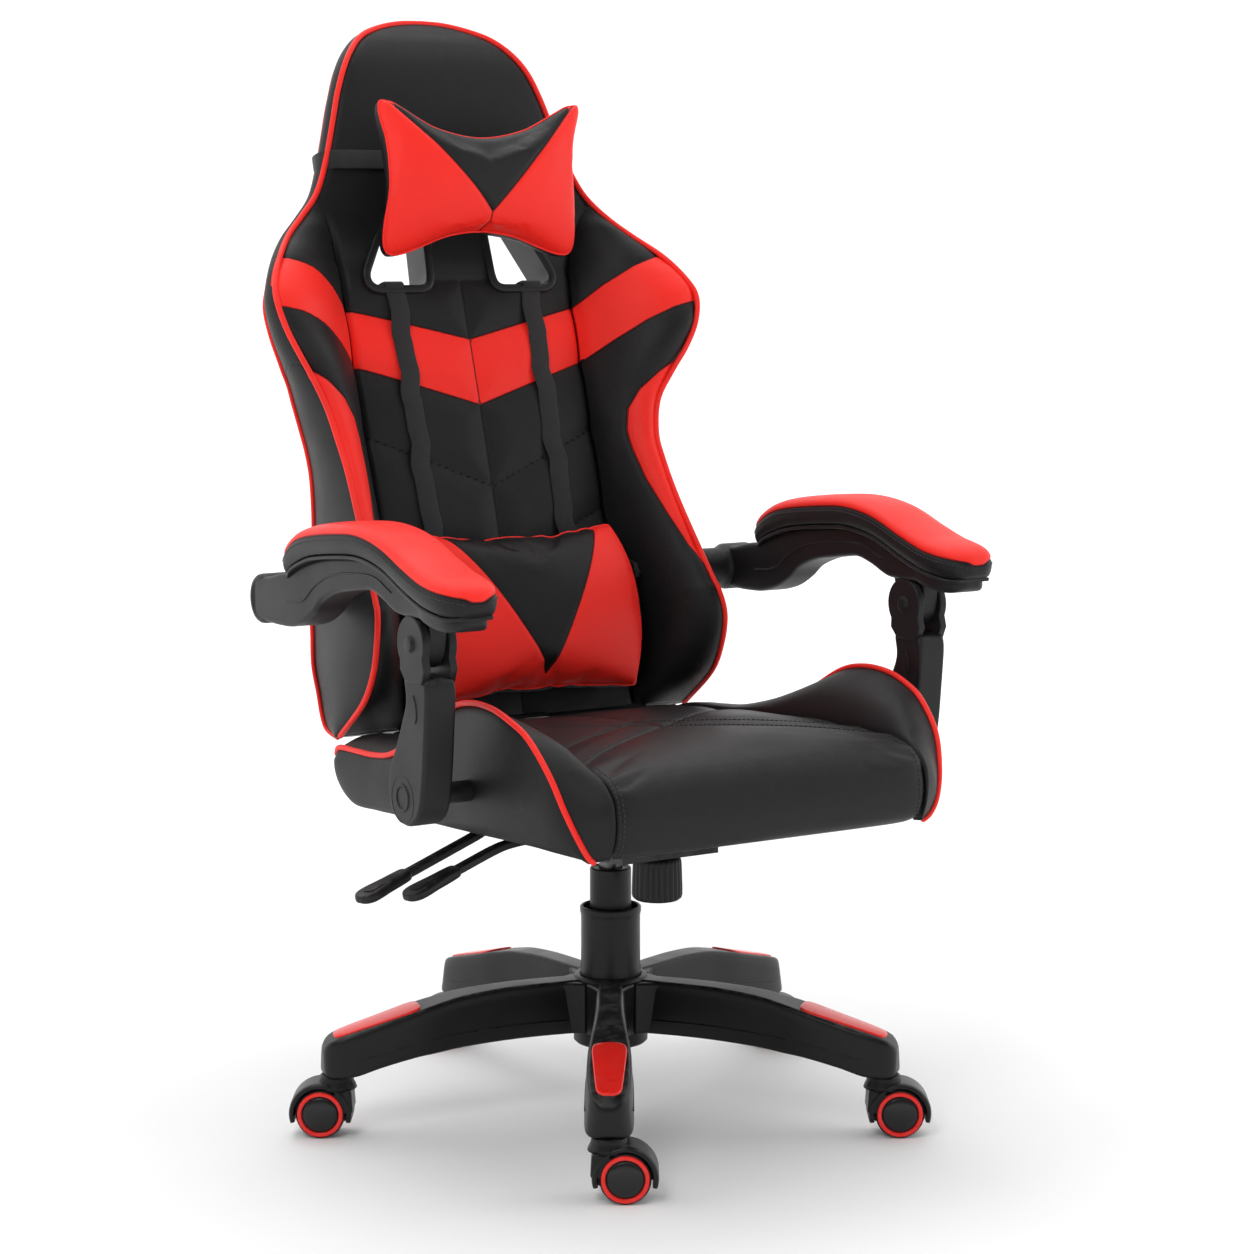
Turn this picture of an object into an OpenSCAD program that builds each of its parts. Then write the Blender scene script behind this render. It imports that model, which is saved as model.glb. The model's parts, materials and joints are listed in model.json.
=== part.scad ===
// Racing-style swivel chair: five-arm base on twin-wheel casters, gas lift, rocking mechanism,
// upholstered seat, reclining backrest with two belt windows, and armrests linked to the recline.
// Millimetres, +Z up, origin on the floor under the column. The sitter faces -Y.

/* [Base] */
// Distance from the column to each caster stem
caster_circle_r = 340; // [300:1:360]
// Direction of the first base arm, seen from above
first_arm_angle = -121.5; // [-180:0.5:180]
// Width of a base arm
arm_w = 54; // [46:1:60]
// Radius of a caster wheel
wheel_r = 29; // [27:0.5:30]
// Distance of the wheel axle behind the caster stem
caster_trail = 18; // [16:0.5:20]
// Direction the parked casters trail in, seen from above
trail_angle = -31.5; // [-180:0.5:180]

/* [Column] */
// Outer radius of the gas cylinder
cylinder_r = 25; // [24:0.5:27]
// Height of the top of the gas cylinder
cylinder_top = 300; // [280:1:305]
// Outer radius of the dust sleeve
sleeve_r = 36.4; // [34:0.1:38]
// Height of the top of the dust sleeve
sleeve_top = 252; // [230:1:265]
// Radius of the piston rod
piston_r = 14; // [12:0.5:16]

/* [Mechanism] */
// Radius of the tension knob
knob_r = 30; // [24:1:32]
// Distance of the knob in front of the column
knob_y = 106; // [100:1:110]
// Height of the rocking pin
rock_z = 362; // [360:1:364]
// Radius of the lever rods
rod_r = 4.5; // [3.5:0.5:5]

/* [Seat] */
// Half width of the seat over its side bolsters
seat_half_w = 266; // [255:1:270]
// Half width of the centre cushion
centre_half_w = 206; // [200:1:212]
// Backward slope of the seat, in degrees
seat_slope = 3.22; // [2.5:0.01:3.6]
// Height of the seat frame above the floor, at the column
seat_frame_z = 384.7; // [383:0.1:386]

/* [Backrest] */
// Backward lean of the backrest at rest, in degrees
back_lean = 17; // [16.5:0.1:17.5]
// Half width of the centre panel between the side bolsters
panel_half_w = 172; // [168:1:176]
// Height up the backrest of the lower edge of the belt windows
window_low = 534; // [530:1:540]
// Height up the backrest of the upper edge of the belt windows
window_high = 648; // [630:1:655]
// Width of the belt window trim, seen from the front
trim_w = 12; // [8:1:14]
// Width of the pillow straps
strap_w = 26; // [20:1:28]

/* [Armrests] */
// Distance of an armrest's middle from the chair's middle
armrest_x = 332; // [328:1:340]
// Thickness of an armrest post
post_t = 38; // [34:1:40]
// Radius of the post's upper ears
ear_r = 31; // [28:1:32]

/* [Hidden] */

$fn = 48;
gap = 0.3;        // air between soft pieces, and between pieces that move past each other
running = 0.05;   // radial clearance of a pin that turns in its bore

arm_count = 5;
wheel_w = 19;
web_w = 8;
axle_r = 4;
stem_r = 5.5;
arm_tip_z = 73;
// The wheels' far sides: casters 4 and 5 trail the other way
trails = [trail_angle, trail_angle, trail_angle, trail_angle + 180, trail_angle + 180];

bolt_r = 6;
post_pivot = [-140, 443];
top_pivot = [-165, 616];
rear_pivot = [228, 624];
// The recline axis closes a parallelogram with the three armrest pivots
recline_axis = rear_pivot - (top_pivot - post_pivot);
rocking_y = -70;
housing_half_w = 66;
lever_hub_x = -52;

black = [0.09, 0.09, 0.1];
dark = [0.16, 0.16, 0.17];
red = [0.93, 0.16, 0.13];
steel = [0.55, 0.56, 0.58];
foam = [0.13, 0.13, 0.14];

// ---------------------------------------------------------------- placing

module on_side(side) {
    if (side > 0) children(); else mirror([1, 0, 0]) children();
}

module both_sides() {
    children();
    mirror([1, 0, 0]) children();
}

// A flat outline in Y and Z, given a thickness across the chair from x0 to x1
module across(x0, x1) {
    translate([x0, 0, 0]) rotate([90, 0, 90]) linear_extrude(x1 - x0) children();
}

// A round bar across the chair through the point [y, z]
module cross_bar(r, x0, x1, at) {
    translate([x0, at[0], at[1]]) rotate([0, 90, 0]) cylinder(r = r, h = x1 - x0);
}

// The backrest's own space: X across, -Y forwards out of the panel, Z up along it
module in_back() {
    translate([0, 218, 480]) rotate([-back_lean, 0, 0]) children();
}

// A flat outline in X and height up the backrest, from depth d0 to d1 in front of the panel
module slab(d0, d1) {
    translate([0, -d0, 0]) rotate([90, 0, 0]) linear_extrude(d1 - d0) children();
}

// A side outline of [height, depth] points in the backrest's space, from x0 to x1
module back_side(x0, x1, points) {
    across(x0, x1) polygon([for (p = points) [-p[1], p[0]]]);
}

// Height and depth in the backrest's space for a point [y, z] of the chair
function to_back(p) = [
    (p[0] - 218) * sin(back_lean) + (p[1] - 480) * cos(back_lean),
    -(p[0] - 218) * cos(back_lean) + (p[1] - 480) * sin(back_lean)
];

module in_seat() {
    translate([0, 0, seat_frame_z]) rotate([-seat_slope, 0, 0]) children();
}

module at_arm(k) {
    rotate([0, 0, first_arm_angle + (k - 1) * 360 / arm_count]) children();
}

// Caster k at its stem, turned so that +X is the way it trails
module at_caster(k) {
    arm_angle = first_arm_angle + (k - 1) * 360 / arm_count;
    translate([caster_circle_r * cos(arm_angle), caster_circle_r * sin(arm_angle), 0])
        rotate([0, 0, trails[k - 1]]) children();
}

// ---------------------------------------------------------------- base

arm_profile = [
    [20, 166], [120, 166], [190, 159], [243, 146], [300, 132], [346, 118], [355, 108], [357, 90],
    [357, arm_tip_z], [314, arm_tip_z], [283, 83], [240, 91], [190, 97], [120, 101], [20, 101]
];
arm_plan = [
    [20, 23], [60, 23], [120, 20], [190, 21], [243, 26], [330, 27], [348, 22], [357, 12],
    [357, -12], [348, -22], [330, -27], [243, -26], [190, -21], [120, -20], [60, -23], [20, -23]
];
inlay_plan = [
    [240, 15], [245, 19.5], [252, 20.5], [332, 14.5], [339, 11], [342, 5],
    [342, -5], [339, -11], [332, -14.5], [252, -20.5], [245, -19.5], [240, -15]
];
inlay_slope = atan2(28, 103);

module arm_body() {
    intersection() {
        rotate([90, 0, 0]) translate([0, 0, -arm_w]) linear_extrude(2 * arm_w) polygon(arm_profile);
        linear_extrude(200) scale([1, arm_w / 54, 1]) polygon(arm_plan);
    }
}

// The block let into the sloping stretch near an arm's end, from sink below to proud above its top
module inlay_body(grow, sink, proud) {
    intersection() {
        linear_extrude(200) offset(delta = grow) polygon(inlay_plan);
        translate([243, 0, 146]) rotate([0, inlay_slope, 0])
            translate([-20, -40, -sink]) cube([150, 80, sink + proud]);
    }
}

module star_base() {
    color(black) difference() {
        union() {
            translate([0, 0, 84]) cylinder(r = 45, h = 84);
            for (k = [1:arm_count]) at_arm(k) arm_body();
        }
        translate([0, 0, 165]) cylinder(r = sleeve_r + 1, h = 10);
        translate([0, 0, 80]) cylinder(r = cylinder_r + 0.02, h = 100);
        for (k = [1:arm_count]) at_arm(k) {
            translate([caster_circle_r, 0, 60]) cylinder(r = stem_r + running, h = 44);
            inlay_body(0.1, 4.2, 20);
        }
    }
}

module arm_inlays() {
    color(red) for (k = [1:arm_count]) at_arm(k) inlay_body(0, 4, 1.2);
}

module gas_cylinder() {
    color(dark) difference() {
        translate([0, 0, 88]) cylinder(r = cylinder_r, h = cylinder_top - 88);
        translate([0, 0, 96]) cylinder(r = piston_r + running, h = cylinder_top);
    }
}

module dust_sleeve() {
    color(black) difference() {
        translate([0, 0, 165.2]) cylinder(r = sleeve_r, h = sleeve_top - 165.2);
        translate([0, 0, 169]) cylinder(r = sleeve_r - 3, h = sleeve_top);
        translate([0, 0, 160]) cylinder(r = cylinder_r + 0.2, h = 20);
    }
}

// ---------------------------------------------------------------- casters

module caster_hood(k) {
    color(black) at_caster(k) difference() {
        union() {
            translate([caster_trail, 0, wheel_r]) rotate([90, 0, 0])
                cylinder(r = wheel_r + 8, h = 46, center = true);
            translate([0, 0, wheel_r + 3]) cylinder(r = 19.5, h = arm_tip_z - wheel_r - 3.6);
        }
        // The space of each wheel, either side of the web
        for (side = [-1, 1]) translate([caster_trail, side * (web_w / 2 + 15), wheel_r])
            rotate([90, 0, 0]) cylinder(r = wheel_r + 2, h = 30, center = true);
        // Open below a line that falls from the stem side to the trailing side
        for (side = [-1, 1]) translate([caster_trail, side * 26, wheel_r]) rotate([0, 14, 0])
            translate([-60, -20, -60]) cube([120, 40, 60]);
        translate([caster_trail - 60, -40, wheel_r - 60]) cube([120, 80, 50]);
        translate([0, 0, 58]) cylinder(r = stem_r + 0.02, h = 40);
        translate([caster_trail, 0, wheel_r]) rotate([90, 0, 0])
            cylinder(r = axle_r + 0.02, h = 20, center = true);
    }
}

module caster_pins(k) {
    color(steel) at_caster(k) {
        translate([0, 0, 58]) cylinder(r = stem_r, h = 44);
        translate([caster_trail, 0, wheel_r]) rotate([90, 0, 0])
            cylinder(r = axle_r, h = 2 * wheel_w, center = true);
    }
}

// One wheel: tread, ring groove and domed cap, bored blind for the axle
module caster_wheel(k, side) {
    color(black) at_caster(k) translate([caster_trail, 0, wheel_r])
        rotate([side * -90, 0, 0]) translate([0, 0, web_w / 2 + gap])
            rotate_extrude() polygon([
                [axle_r + running, 0], [wheel_r - 2, 0], [wheel_r, 2], [wheel_r, wheel_w - 3],
                [wheel_r - 2, wheel_w - 1], [wheel_r - 7, wheel_w - 1], [wheel_r - 8, wheel_w - 3],
                [wheel_r - 9, wheel_w - 1], [wheel_r - 14, wheel_w + 0.5], [0, wheel_w + 1.2],
                [0, wheel_w - 2], [axle_r + running, wheel_w - 2]
            ]);
}

// ---------------------------------------------------------------- column and mechanism

module gas_piston() {
    color(steel) translate([0, 0, 130]) cylinder(r = piston_r, h = 220);
}

housing_profile = [
    [-136, 334], [-60, 326], [95, 326], [95, 332], [0, 352], [-50, 374], [-92, 376], [-136, 346]
];

module mechanism_housing() {
    color(dark) difference() {
        union() {
            difference() {
                across(-housing_half_w, housing_half_w) polygon(housing_profile);
                // Pressed tray: open on top, 4 mm walls
                translate([4 - housing_half_w, -76, 330]) cube([2 * housing_half_w - 8, 167, 60]);
            }
            translate([0, 0, 324]) cylinder(r = 24, h = 24);
            translate([lever_hub_x - 7, -6, 328]) cube([14, 4, 27]);
            translate([lever_hub_x - 7, 14, 328]) cube([14, 4, 27]);
            translate([lever_hub_x, 20, 349]) rotate([90, 0, 0]) cylinder(r = 3, h = 28);
        }
        translate([0, 0, 300]) cylinder(r = piston_r + running, h = 60);
        cross_bar(bolt_r + running, -90, 90, [rocking_y, rock_z]);
        // The tension bolt and its spring stand in a well at the nose
        translate([0, -knob_y, 310]) cylinder(r = 5 + running, h = 80);
        translate([0, -knob_y, 341]) cylinder(r = 19, h = 50);
        // Slot for the lift lever
        translate([-housing_half_w - 2, -7, 342]) cube([8, 26, 40]);
    }
}

module rocking_pin() {
    color(steel) cross_bar(bolt_r, -housing_half_w - 10, housing_half_w + 10, [rocking_y, rock_z]);
}

// A round wire wound into a helix: rings of wire_sides points along the turns, joined into a tube
module helix(coil_r, wire_r, turns, rise, wire_sides = 8, steps = 18) {
    rings = turns * steps;
    points = [
        for (ring = [0:rings]) for (side = [0:wire_sides - 1])
            let (turn = ring * 360 / steps, around = side * 360 / wire_sides,
                 out = coil_r + wire_r * cos(around))
            [out * cos(turn), out * sin(turn), rise * ring / rings + wire_r * sin(around)]
    ];
    skin = [
        for (ring = [0:rings - 1]) for (side = [0:wire_sides - 1])
            let (next = (side + 1) % wire_sides, low = ring * wire_sides, high = low + wire_sides)
            [low + side, low + next, high + next, high + side]
    ];
    ends = [
        [for (side = [wire_sides - 1:-1:0]) side],
        [for (side = [0:wire_sides - 1]) rings * wire_sides + side]
    ];
    polyhedron(points, concat(skin, ends));
}

// Coil spring on the tension bolt
module tension_spring() {
    color(steel) translate([0, -knob_y, 344]) helix(12, 2, 4, 22);
}

module tension_knob() {
    color(black) translate([0, -knob_y, 280]) difference() {
        union() {
            difference() {
                cylinder(r = knob_r, h = 42);
                for (k = [0:23]) rotate([0, 0, k * 15])
                    translate([knob_r + 1.2, 0, 4]) cylinder(r = 2.4, h = 50, $fn = 16);
            }
            translate([0, 0, 30]) cylinder(r = 5, h = 58);
        }
        translate([0, 0, -1]) cylinder(r = 12, h = 4);
    }
}

// A lever: hub on its pin, level rod, then a bend down to a flat paddle
module lever(hub, knee, tip) {
    reach = tip - knee;
    run = norm([reach[0], reach[1]]);
    heading = atan2(reach[1], reach[0]);
    fall = atan2(-reach[2], run);
    first = knee - hub;
    difference() {
        union() {
            translate(hub) rotate([0, 0, atan2(first[1], first[0])]) rotate([0, 90, 0])
                cylinder(r = rod_r, h = norm(first));
            translate(knee) sphere(r = rod_r + 0.7, $fn = 24);
            translate(knee) rotate([0, 0, heading]) rotate([0, 90 + fall, 0])
                cylinder(r = rod_r, h = norm(reach) - 50);
            translate(tip) rotate([0, 0, heading]) rotate([0, fall, 0]) translate([-66, 0, 0])
                linear_extrude(10, center = true)
                    polygon([[0, 8], [14, 9], [30, 8], [46, 13], [60, 13], [66, 8],
                             [66, -8], [60, -13], [46, -13], [30, -8], [14, -9], [0, -8]]);
            translate(hub) rotate([90, 0, 0]) cylinder(r = 7, h = 14, center = true);
        }
        translate(hub) rotate([90, 0, 0]) cylinder(r = 3 + running, h = 30, center = true);
    }
}

module lift_lever() {
    color(black) lever([lever_hub_x, 6, 349], [-162, -22, 347], [-300, -57, 311]);
}

// ---------------------------------------------------------------- seat

module seat_plate() {
    color(dark) difference() {
        union() {
            in_seat() translate([-120, -150, -5]) cube([240, 290, 4.6]);
            // Ears that hang from the plate outside the housing, on the rocking pin
            both_sides() across(housing_half_w + 1, housing_half_w + 6) polygon([
                [-92, 386], [-48, 383.5], [-56, rock_z - 8], [rocking_y, rock_z - 12], [-84, rock_z - 8]
            ]);
            // Lugs for the recline lever
            for (y = [45, 66.5]) translate([lever_hub_x - 70 - 4, y, 356]) cube([11, 4, 23]);
            translate([lever_hub_x - 70, 72, 360]) rotate([90, 0, 0]) cylinder(r = 3, h = 28);
        }
        cross_bar(bolt_r + running, -90, 90, [rocking_y, rock_z]);
        in_seat() for (x = [-100, 100]) for (y = [-130, 120])
            translate([x, y, -10]) cylinder(r = 4.05, h = 20);
    }
}

// Recline hinge plate that rises behind the seat from the frame's side rail
module hinge_plate() {
    across(187.9, 194.2) polygon([
        [120, 381], [120, 389], [200, 384], [218, 400], [236, 450], [238, 460], [246, 467],
        [260, 467], [268, 459], [269, 446], [252, 398], [236, 374], [200, 370]
    ]);
}

module seat_frame() {
    color(dark) difference() {
        union() {
            in_seat() {
                both_sides() translate([168, -290, 0]) cube([20, 488, 18]);
                for (y = [-290, 178]) translate([-180, y, 0]) cube([360, 20, 18]);
                for (y = [-140, 110]) translate([-180, y, 0]) cube([360, 20, 18]);
            }
            both_sides() hinge_plate();
            // Upright brackets for the armrest posts
            both_sides() across(180, 186) polygon([
                [-175, 400], [-105, 396], [-118, 455], [-130, 463], [-150, 463], [-162, 455]
            ]);
        }
        in_seat() for (x = [-100, 100]) for (y = [-130, 120])
            translate([x, y, -10]) cylinder(r = 4.05, h = 40);
        cross_bar(bolt_r + 0.02, -200, 200, recline_axis);
        cross_bar(bolt_r + 0.02, -200, 200, post_pivot);
    }
}

module seat_webbing() {
    color(black) in_seat() {
        for (x = [-135, -70, 0, 70, 135]) translate([x - 25, -295, 18.1]) cube([50, 490, 1.6]);
    }
}

module seat_bolts() {
    color(steel) in_seat() for (x = [-100, 100]) for (y = [-130, 120])
        translate([x, y, 0]) {
            translate([0, 0, -5.2]) cylinder(r = 4, h = 23);
            translate([0, 0, -10.4]) cylinder(r = 7, h = 5.2, $fn = 6);
        }
}

// Centre cushion, seen from the side: rounded front, top falling to the back
seat_profile = [
    [-330, 389], [-349, 400], [-357, 420], [-357, 442], [-349, 465], [-330, 481], [-290, 489],
    [-200, 488], [-100, 482], [0, 474], [100, 464], [186, 454], [202, 444], [206, 430], [204, 398]
];
bolster_profile = [
    [-318, 391], [-332, 398], [-331, 414], [-322, 443], [-307, 472], [-283, 500], [-261, 520],
    [-223, 535], [-184, 542], [-144, 541], [-103, 532], [-60, 511], [-15, 484], [40, 456],
    [100, 445], [188, 440], [205, 430], [210, 412], [198, 390], [172, 376], [56, 381],
    [-69, 389], [-240, 398]
];
bolster_plan = [
    [centre_half_w + gap, 206], [seat_half_w - 4, 206], [seat_half_w, 190], [seat_half_w, -225],
    [seat_half_w - 4, -275], [seat_half_w - 14, -310], [234, -328], [centre_half_w + gap, -333]
];

module seat_cushion() {
    color(foam) difference() {
        across(-centre_half_w, centre_half_w) polygon(seat_profile);
        // Seated on the frame and its webbing
        in_seat() translate([-196, -296, -40]) cube([392, 600, 60]);
        both_sides() translate([179.5, -176, 380]) cube([7, 72, 86]);
        cross_bar(12.5, -220, 220, post_pivot);
    }
}

module seat_bolster(side) {
    color(foam) on_side(side) difference() {
        intersection() {
            across(200, 280) polygon(bolster_profile);
            translate([0, 0, 300]) linear_extrude(300) polygon(bolster_plan);
            // Inner face rises outwards from the seam to the piped edge
            translate([0, 300, 0]) rotate([90, 0, 0]) linear_extrude(700)
                polygon([[200, 370], [280, 370], [280, 545], [252, 545], [222, 505], [200, 480]]);
        }
        cross_bar(12.5, 190, 300, post_pivot);
    }
}

module recline_pins() {
    color(steel) both_sides() {
        cross_bar(bolt_r, 181.4, 196, recline_axis);
        cross_bar(11, 196, 199, recline_axis);
    }
}

// Bolt, spacer sleeve and washer that carry each armrest post
module arm_bolts_lower() {
    color(dark) both_sides() {
        cross_bar(bolt_r, 176, armrest_x + post_t / 2 - 5, post_pivot);
        cross_bar(12, 186.3, armrest_x - post_t / 2 - gap, post_pivot);
        cross_bar(10, armrest_x + post_t / 2 - 8, armrest_x + post_t / 2 - 2, post_pivot);
    }
}

module recline_lever() {
    color(black) lever([lever_hub_x - 70, 58, 360], [-169, 26, 352], [-349, -36, 310]);
}

// ---------------------------------------------------------------- backrest

// Half width of the backrest at heights up the panel
back_edge = [
    [-28, 240], [-16, 248], [30, 248], [65, 246], [118, 238], [221, 228], [284, 225], [321, 227],
    [365, 237], [400, 257], [428, 276], [459, 292], [492, 299], [519, 293], [551, 278], [588, 247],
    [613, 222], [642, 197], [670, 182], [705, 169], [743, 157], [781, 145], [813, 132], [838, 116],
    [860, 92], [874, 64], [883, 30]
];
edge_count = len(back_edge);

module back_outline() {
    polygon(concat(
        [for (p = back_edge) [p[1], p[0]]],
        [for (k = [edge_count - 1:-1:0]) [-back_edge[k][1], back_edge[k][0]]]
    ));
}

// One belt window: a slot whose outer edge leans in towards the top
window_corners = [
    [56, window_low], [126, window_low], [131, window_low + 6], [130, window_low + 14],
    [83, window_high - 8], [74, window_high], [54, window_high], [46, window_high - 8],
    [50, window_low + 10]
];

module window_outline(grow) {
    offset(delta = grow, chamfer = true) polygon(window_corners);
}

module window_cuts(grow) {
    both_sides() slab(-90, 60) window_outline(grow);
}

module frame_tubes(r) {
    both_sides() {
        translate([158, 32, -4]) cylinder(r = r, h = 560);
        translate([158, 32, 556]) sphere(r = r + 0.8);
        translate([158, 32, 556]) rotate([0, -17.5, 0]) cylinder(r = r, h = 225);
        translate([90.5, 32, 770]) sphere(r = r + 0.8);
    }
    translate([-90.5, 32, 770]) rotate([0, 90, 0]) cylinder(r = r, h = 181);
    for (height = [45, 470]) translate([-158, 32, height]) rotate([0, 90, 0])
        cylinder(r = r, h = 316);
}

// Recline plates and arm brackets that stand out from the tubes, with grow mm all round
module frame_plates(grow) {
    pivot = to_back(rear_pivot);
    hinge = to_back(recline_axis);
    both_sides() {
        translate([181.6 - grow, 0, 0]) across(0, 6 + 2 * grow) offset(delta = grow) polygon([
            for (p = [[hinge[0] - 12, hinge[1] - 12], [hinge[0] - 14, hinge[1] + 4],
                      [hinge[0] - 6, hinge[1] + 13], [58, -18], [58, -46], [20, -52]]) [-p[1], p[0]]
        ]);
        translate([158, 26, 45]) rotate([0, 90, 0]) cylinder(r = 6 + grow, h = 25);
        translate([165 - grow, 0, 0]) across(0, 6 + 2 * grow) offset(delta = grow) polygon([
            for (p = [[pivot[0] - 18, -44], [pivot[0] - 18, pivot[1]], [pivot[0] - 9, pivot[1] + 16],
                      [pivot[0] + 9, pivot[1] + 16], [pivot[0] + 18, pivot[1]],
                      [pivot[0] + 18, -44]]) [-p[1], p[0]]
        ]);
    }
}

module back_frame() {
    color(dark) difference() {
        in_back() {
            frame_tubes(11);
            frame_plates(0);
        }
        cross_bar(bolt_r + running, -200, 200, recline_axis);
        cross_bar(bolt_r + 0.02, -200, 200, rear_pivot);
    }
}

// Side views of the padding as [height, depth in front of the panel]
panel_profile = [
    [-20, -16], [-24, -8], [-20, 0], [640, 0], [690, 8], [760, 14], [820, 12], [862, 6], [890, -7],
    [890, -16]
];
shell_profile = [
    [-30, -16.3], [-30, -34], [0, -62], [120, -66], [240, -60], [325, -52], [640, -48], [800, -46],
    [862, -38], [890, -25], [890, -16.3]
];
lower_side_profile = [
    [-30, -36], [-30, -16], [-20, 17], [0, 59], [30, 95], [65, 114], [97, 116], [118, 110],
    [221, 77], [241, 71], [284, 60], [330, 52], [330, -48], [244, -60], [120, -76], [0, -66]
];
wing_side_profile = [
    [329, 52], [365, 54], [400, 68], [428, 81], [459, 87], [492, 86], [519, 77], [551, 61],
    [588, 33], [613, 23], [642, 20], [700, 20], [700, -46], [329, -48]
];

// Everything that is let into the foam
module foam_hollows() {
    in_back() {
        frame_tubes(11.4);
        frame_plates(0.4);
        window_cuts(trim_w + gap);
        // Pockets in which the fixed hinge plates swing
        both_sides() translate([181, -30, -40]) cube([18.6, 130, 75]);
    }
    cross_bar(bolt_r + 0.3, -300, 300, rear_pivot);
}

module back_cushion() {
    color(foam) difference() {
        in_back() intersection() {
            slab(-40, 60) back_outline();
            back_side(-panel_half_w, panel_half_w, panel_profile);
        }
        foam_hollows();
    }
}

module back_shell() {
    color(foam) difference() {
        in_back() intersection() {
            slab(-90, 10) back_outline();
            back_side(-panel_half_w, panel_half_w, shell_profile);
        }
        foam_hollows();
    }
}

module back_bolster(side) {
    inner = panel_half_w + gap;
    color(foam) difference() {
        in_back() on_side(side) intersection() {
            slab(-90, 140) back_outline();
            union() {
                intersection() {
                    back_side(inner, 310, lower_side_profile);
                    translate([0, 0, -40]) linear_extrude(370) polygon([
                        [inner, 90], [310, 90], [310, -130], [238, -130], [210, -86], [inner, -14]
                    ]);
                }
                intersection() {
                    back_side(inner, 310, wing_side_profile);
                    translate([0, 0, 329]) linear_extrude(372) polygon([
                        [inner, 48], [200, 48], [310, -44], [310, -100], [276, -92], [inner, -6]
                    ]);
                }
            }
        }
        foam_hollows();
    }
}

// Moulded liner of each belt window, proud of the panel at the front and of the shell at the back
module window_trims() {
    color(black) in_back() both_sides() difference() {
        slab(-53, 4) window_outline(trim_w);
        slab(-90, 40) window_outline(0);
    }
}

module arm_bolts_rear() {
    color(dark) both_sides() {
        cross_bar(bolt_r, 164, armrest_x + 14, rear_pivot);
        cross_bar(10, armrest_x + 12, armrest_x + 18, rear_pivot);
    }
}

// Butterfly pillow: four drawn-out corners round a full middle
module head_pillow() {
    color(red) in_back() hull() {
        both_sides() {
            translate([141, -126, 734]) sphere(r = 13, $fn = 24);
            translate([117, -56, 561]) sphere(r = 13, $fn = 24);
        }
        translate([0, -82, 640]) scale([2.3, 1, 1.4]) sphere(r = 44, $fn = 32);
    }
}

// Elastic band round the head of the backrest
module head_strap() {
    color(black) in_back() translate([0, 0, 681]) linear_extrude(24) difference() {
        translate([-181.5, -25.5]) square([363, 77.5]);
        translate([-179.5, -23.5]) square([359, 73.5]);
    }
}

module lumbar_cushion() {
    color(red) in_back() hull() both_sides() {
        translate([112, -34, 178]) sphere(r = 25, $fn = 24);
        translate([120, -49, 98]) sphere(r = 42, $fn = 32);
        translate([118, -40, 22]) sphere(r = 30, $fn = 24);
    }
}

// Two flat straps from the cushion, over the windows' lower edges and down behind the back
strap_path = [
    [176, 1], [176, 3], [516, 5], [524, 8], [window_low + 2.6, 8], [window_low + 2.6, -57],
    [510, -57], [330, -56], [240, -64.5], [120, -70.5], [0, -66.5],
    [0, -64], [120, -68], [240, -62], [330, -53.6], [510, -54.5], [window_low + 0.4, -54.5],
    [window_low + 0.4, 5.6], [524, 5.6], [516, 2.6]
];

module lumbar_straps() {
    color(black) in_back() both_sides()
        back_side(100 - strap_w / 2, 100 + strap_w / 2, strap_path);
}

// ---------------------------------------------------------------- armrests

post_profile = [
    [-146, 414], [-174, 423], [-186, 448], [-194, 490], [-199, 540], [-199, 584], [-192, 600],
    [-138, 600], [-144, 575],
    [-152, 546], [-126, 502], [-106, 472], [-103, 449], [-112, 428], [-126, 417]
];

module arm_post(side) {
    color(black) on_side(side) difference() {
        union() {
            across(armrest_x - post_t / 2, armrest_x + post_t / 2) polygon(post_profile);
            cross_bar(ear_r, armrest_x - post_t / 2, armrest_x + post_t / 2, top_pivot);
            cross_bar(31, armrest_x - post_t / 2, armrest_x + post_t / 2, post_pivot + [0, 6]);
        }
        // Gap between the ears for the armrest's lug
        translate([armrest_x - 11.3, top_pivot[0] - 60, 582.5]) cube([22.6, 120, 90]);
        cross_bar(bolt_r + running, 300, 360, post_pivot);
        cross_bar(10.4, armrest_x + post_t / 2 - 8.4, 400, post_pivot);
        cross_bar(bolt_r + 0.3, 300, 360, top_pivot);
        // Finger slot down the rear of the post
        across(300, 400) polygon([[-172, 530], [-168, 524], [-165, 530], [-166, 552], [-170, 556]]);
    }
}

arm_frame_profile = [
    [250, 640], [244, 650], [179, 662], [150, 668], [146, 657], [118, 675], [60, 689], [-7, 697.5],
    [-65, 700.5], [-121, 692.5], [-175, 673.5], [-223, 660.5], [-272, 656], [-268, 646], [-225, 645],
    [-196, 646], [-133, 644], [-72, 664], [-14, 658], [58, 638], [96, 608], [150, 598], [212, 598],
    [228, 599], [250, 608]
];

module arm_frame(side) {
    color(black) on_side(side) difference() {
        union() {
            difference() {
                across(armrest_x - 21, armrest_x + 21) polygon(arm_frame_profile);
                cross_bar(ear_r + 0.6, 300, 400, top_pivot);
            }
            cross_bar(29, armrest_x - 10.7, armrest_x + 10.7, top_pivot);
            across(armrest_x - 10.7, armrest_x + 10.7)
                polygon([[-194, 616], [-136, 616], [-130, 650], [-196, 650]]);
            // Boss that reaches in to the side of the backrest
            cross_bar(25, 250, armrest_x + 21, rear_pivot);
            // The top pivot is moulded on the lug; its hole in the ears has room to spare
            cross_bar(bolt_r, armrest_x - 18, armrest_x + 18, top_pivot);
        }
        cross_bar(bolt_r + running, 240, 400, rear_pivot);
        cross_bar(10.4, armrest_x + 11.6, 400, rear_pivot);
    }
}

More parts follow.
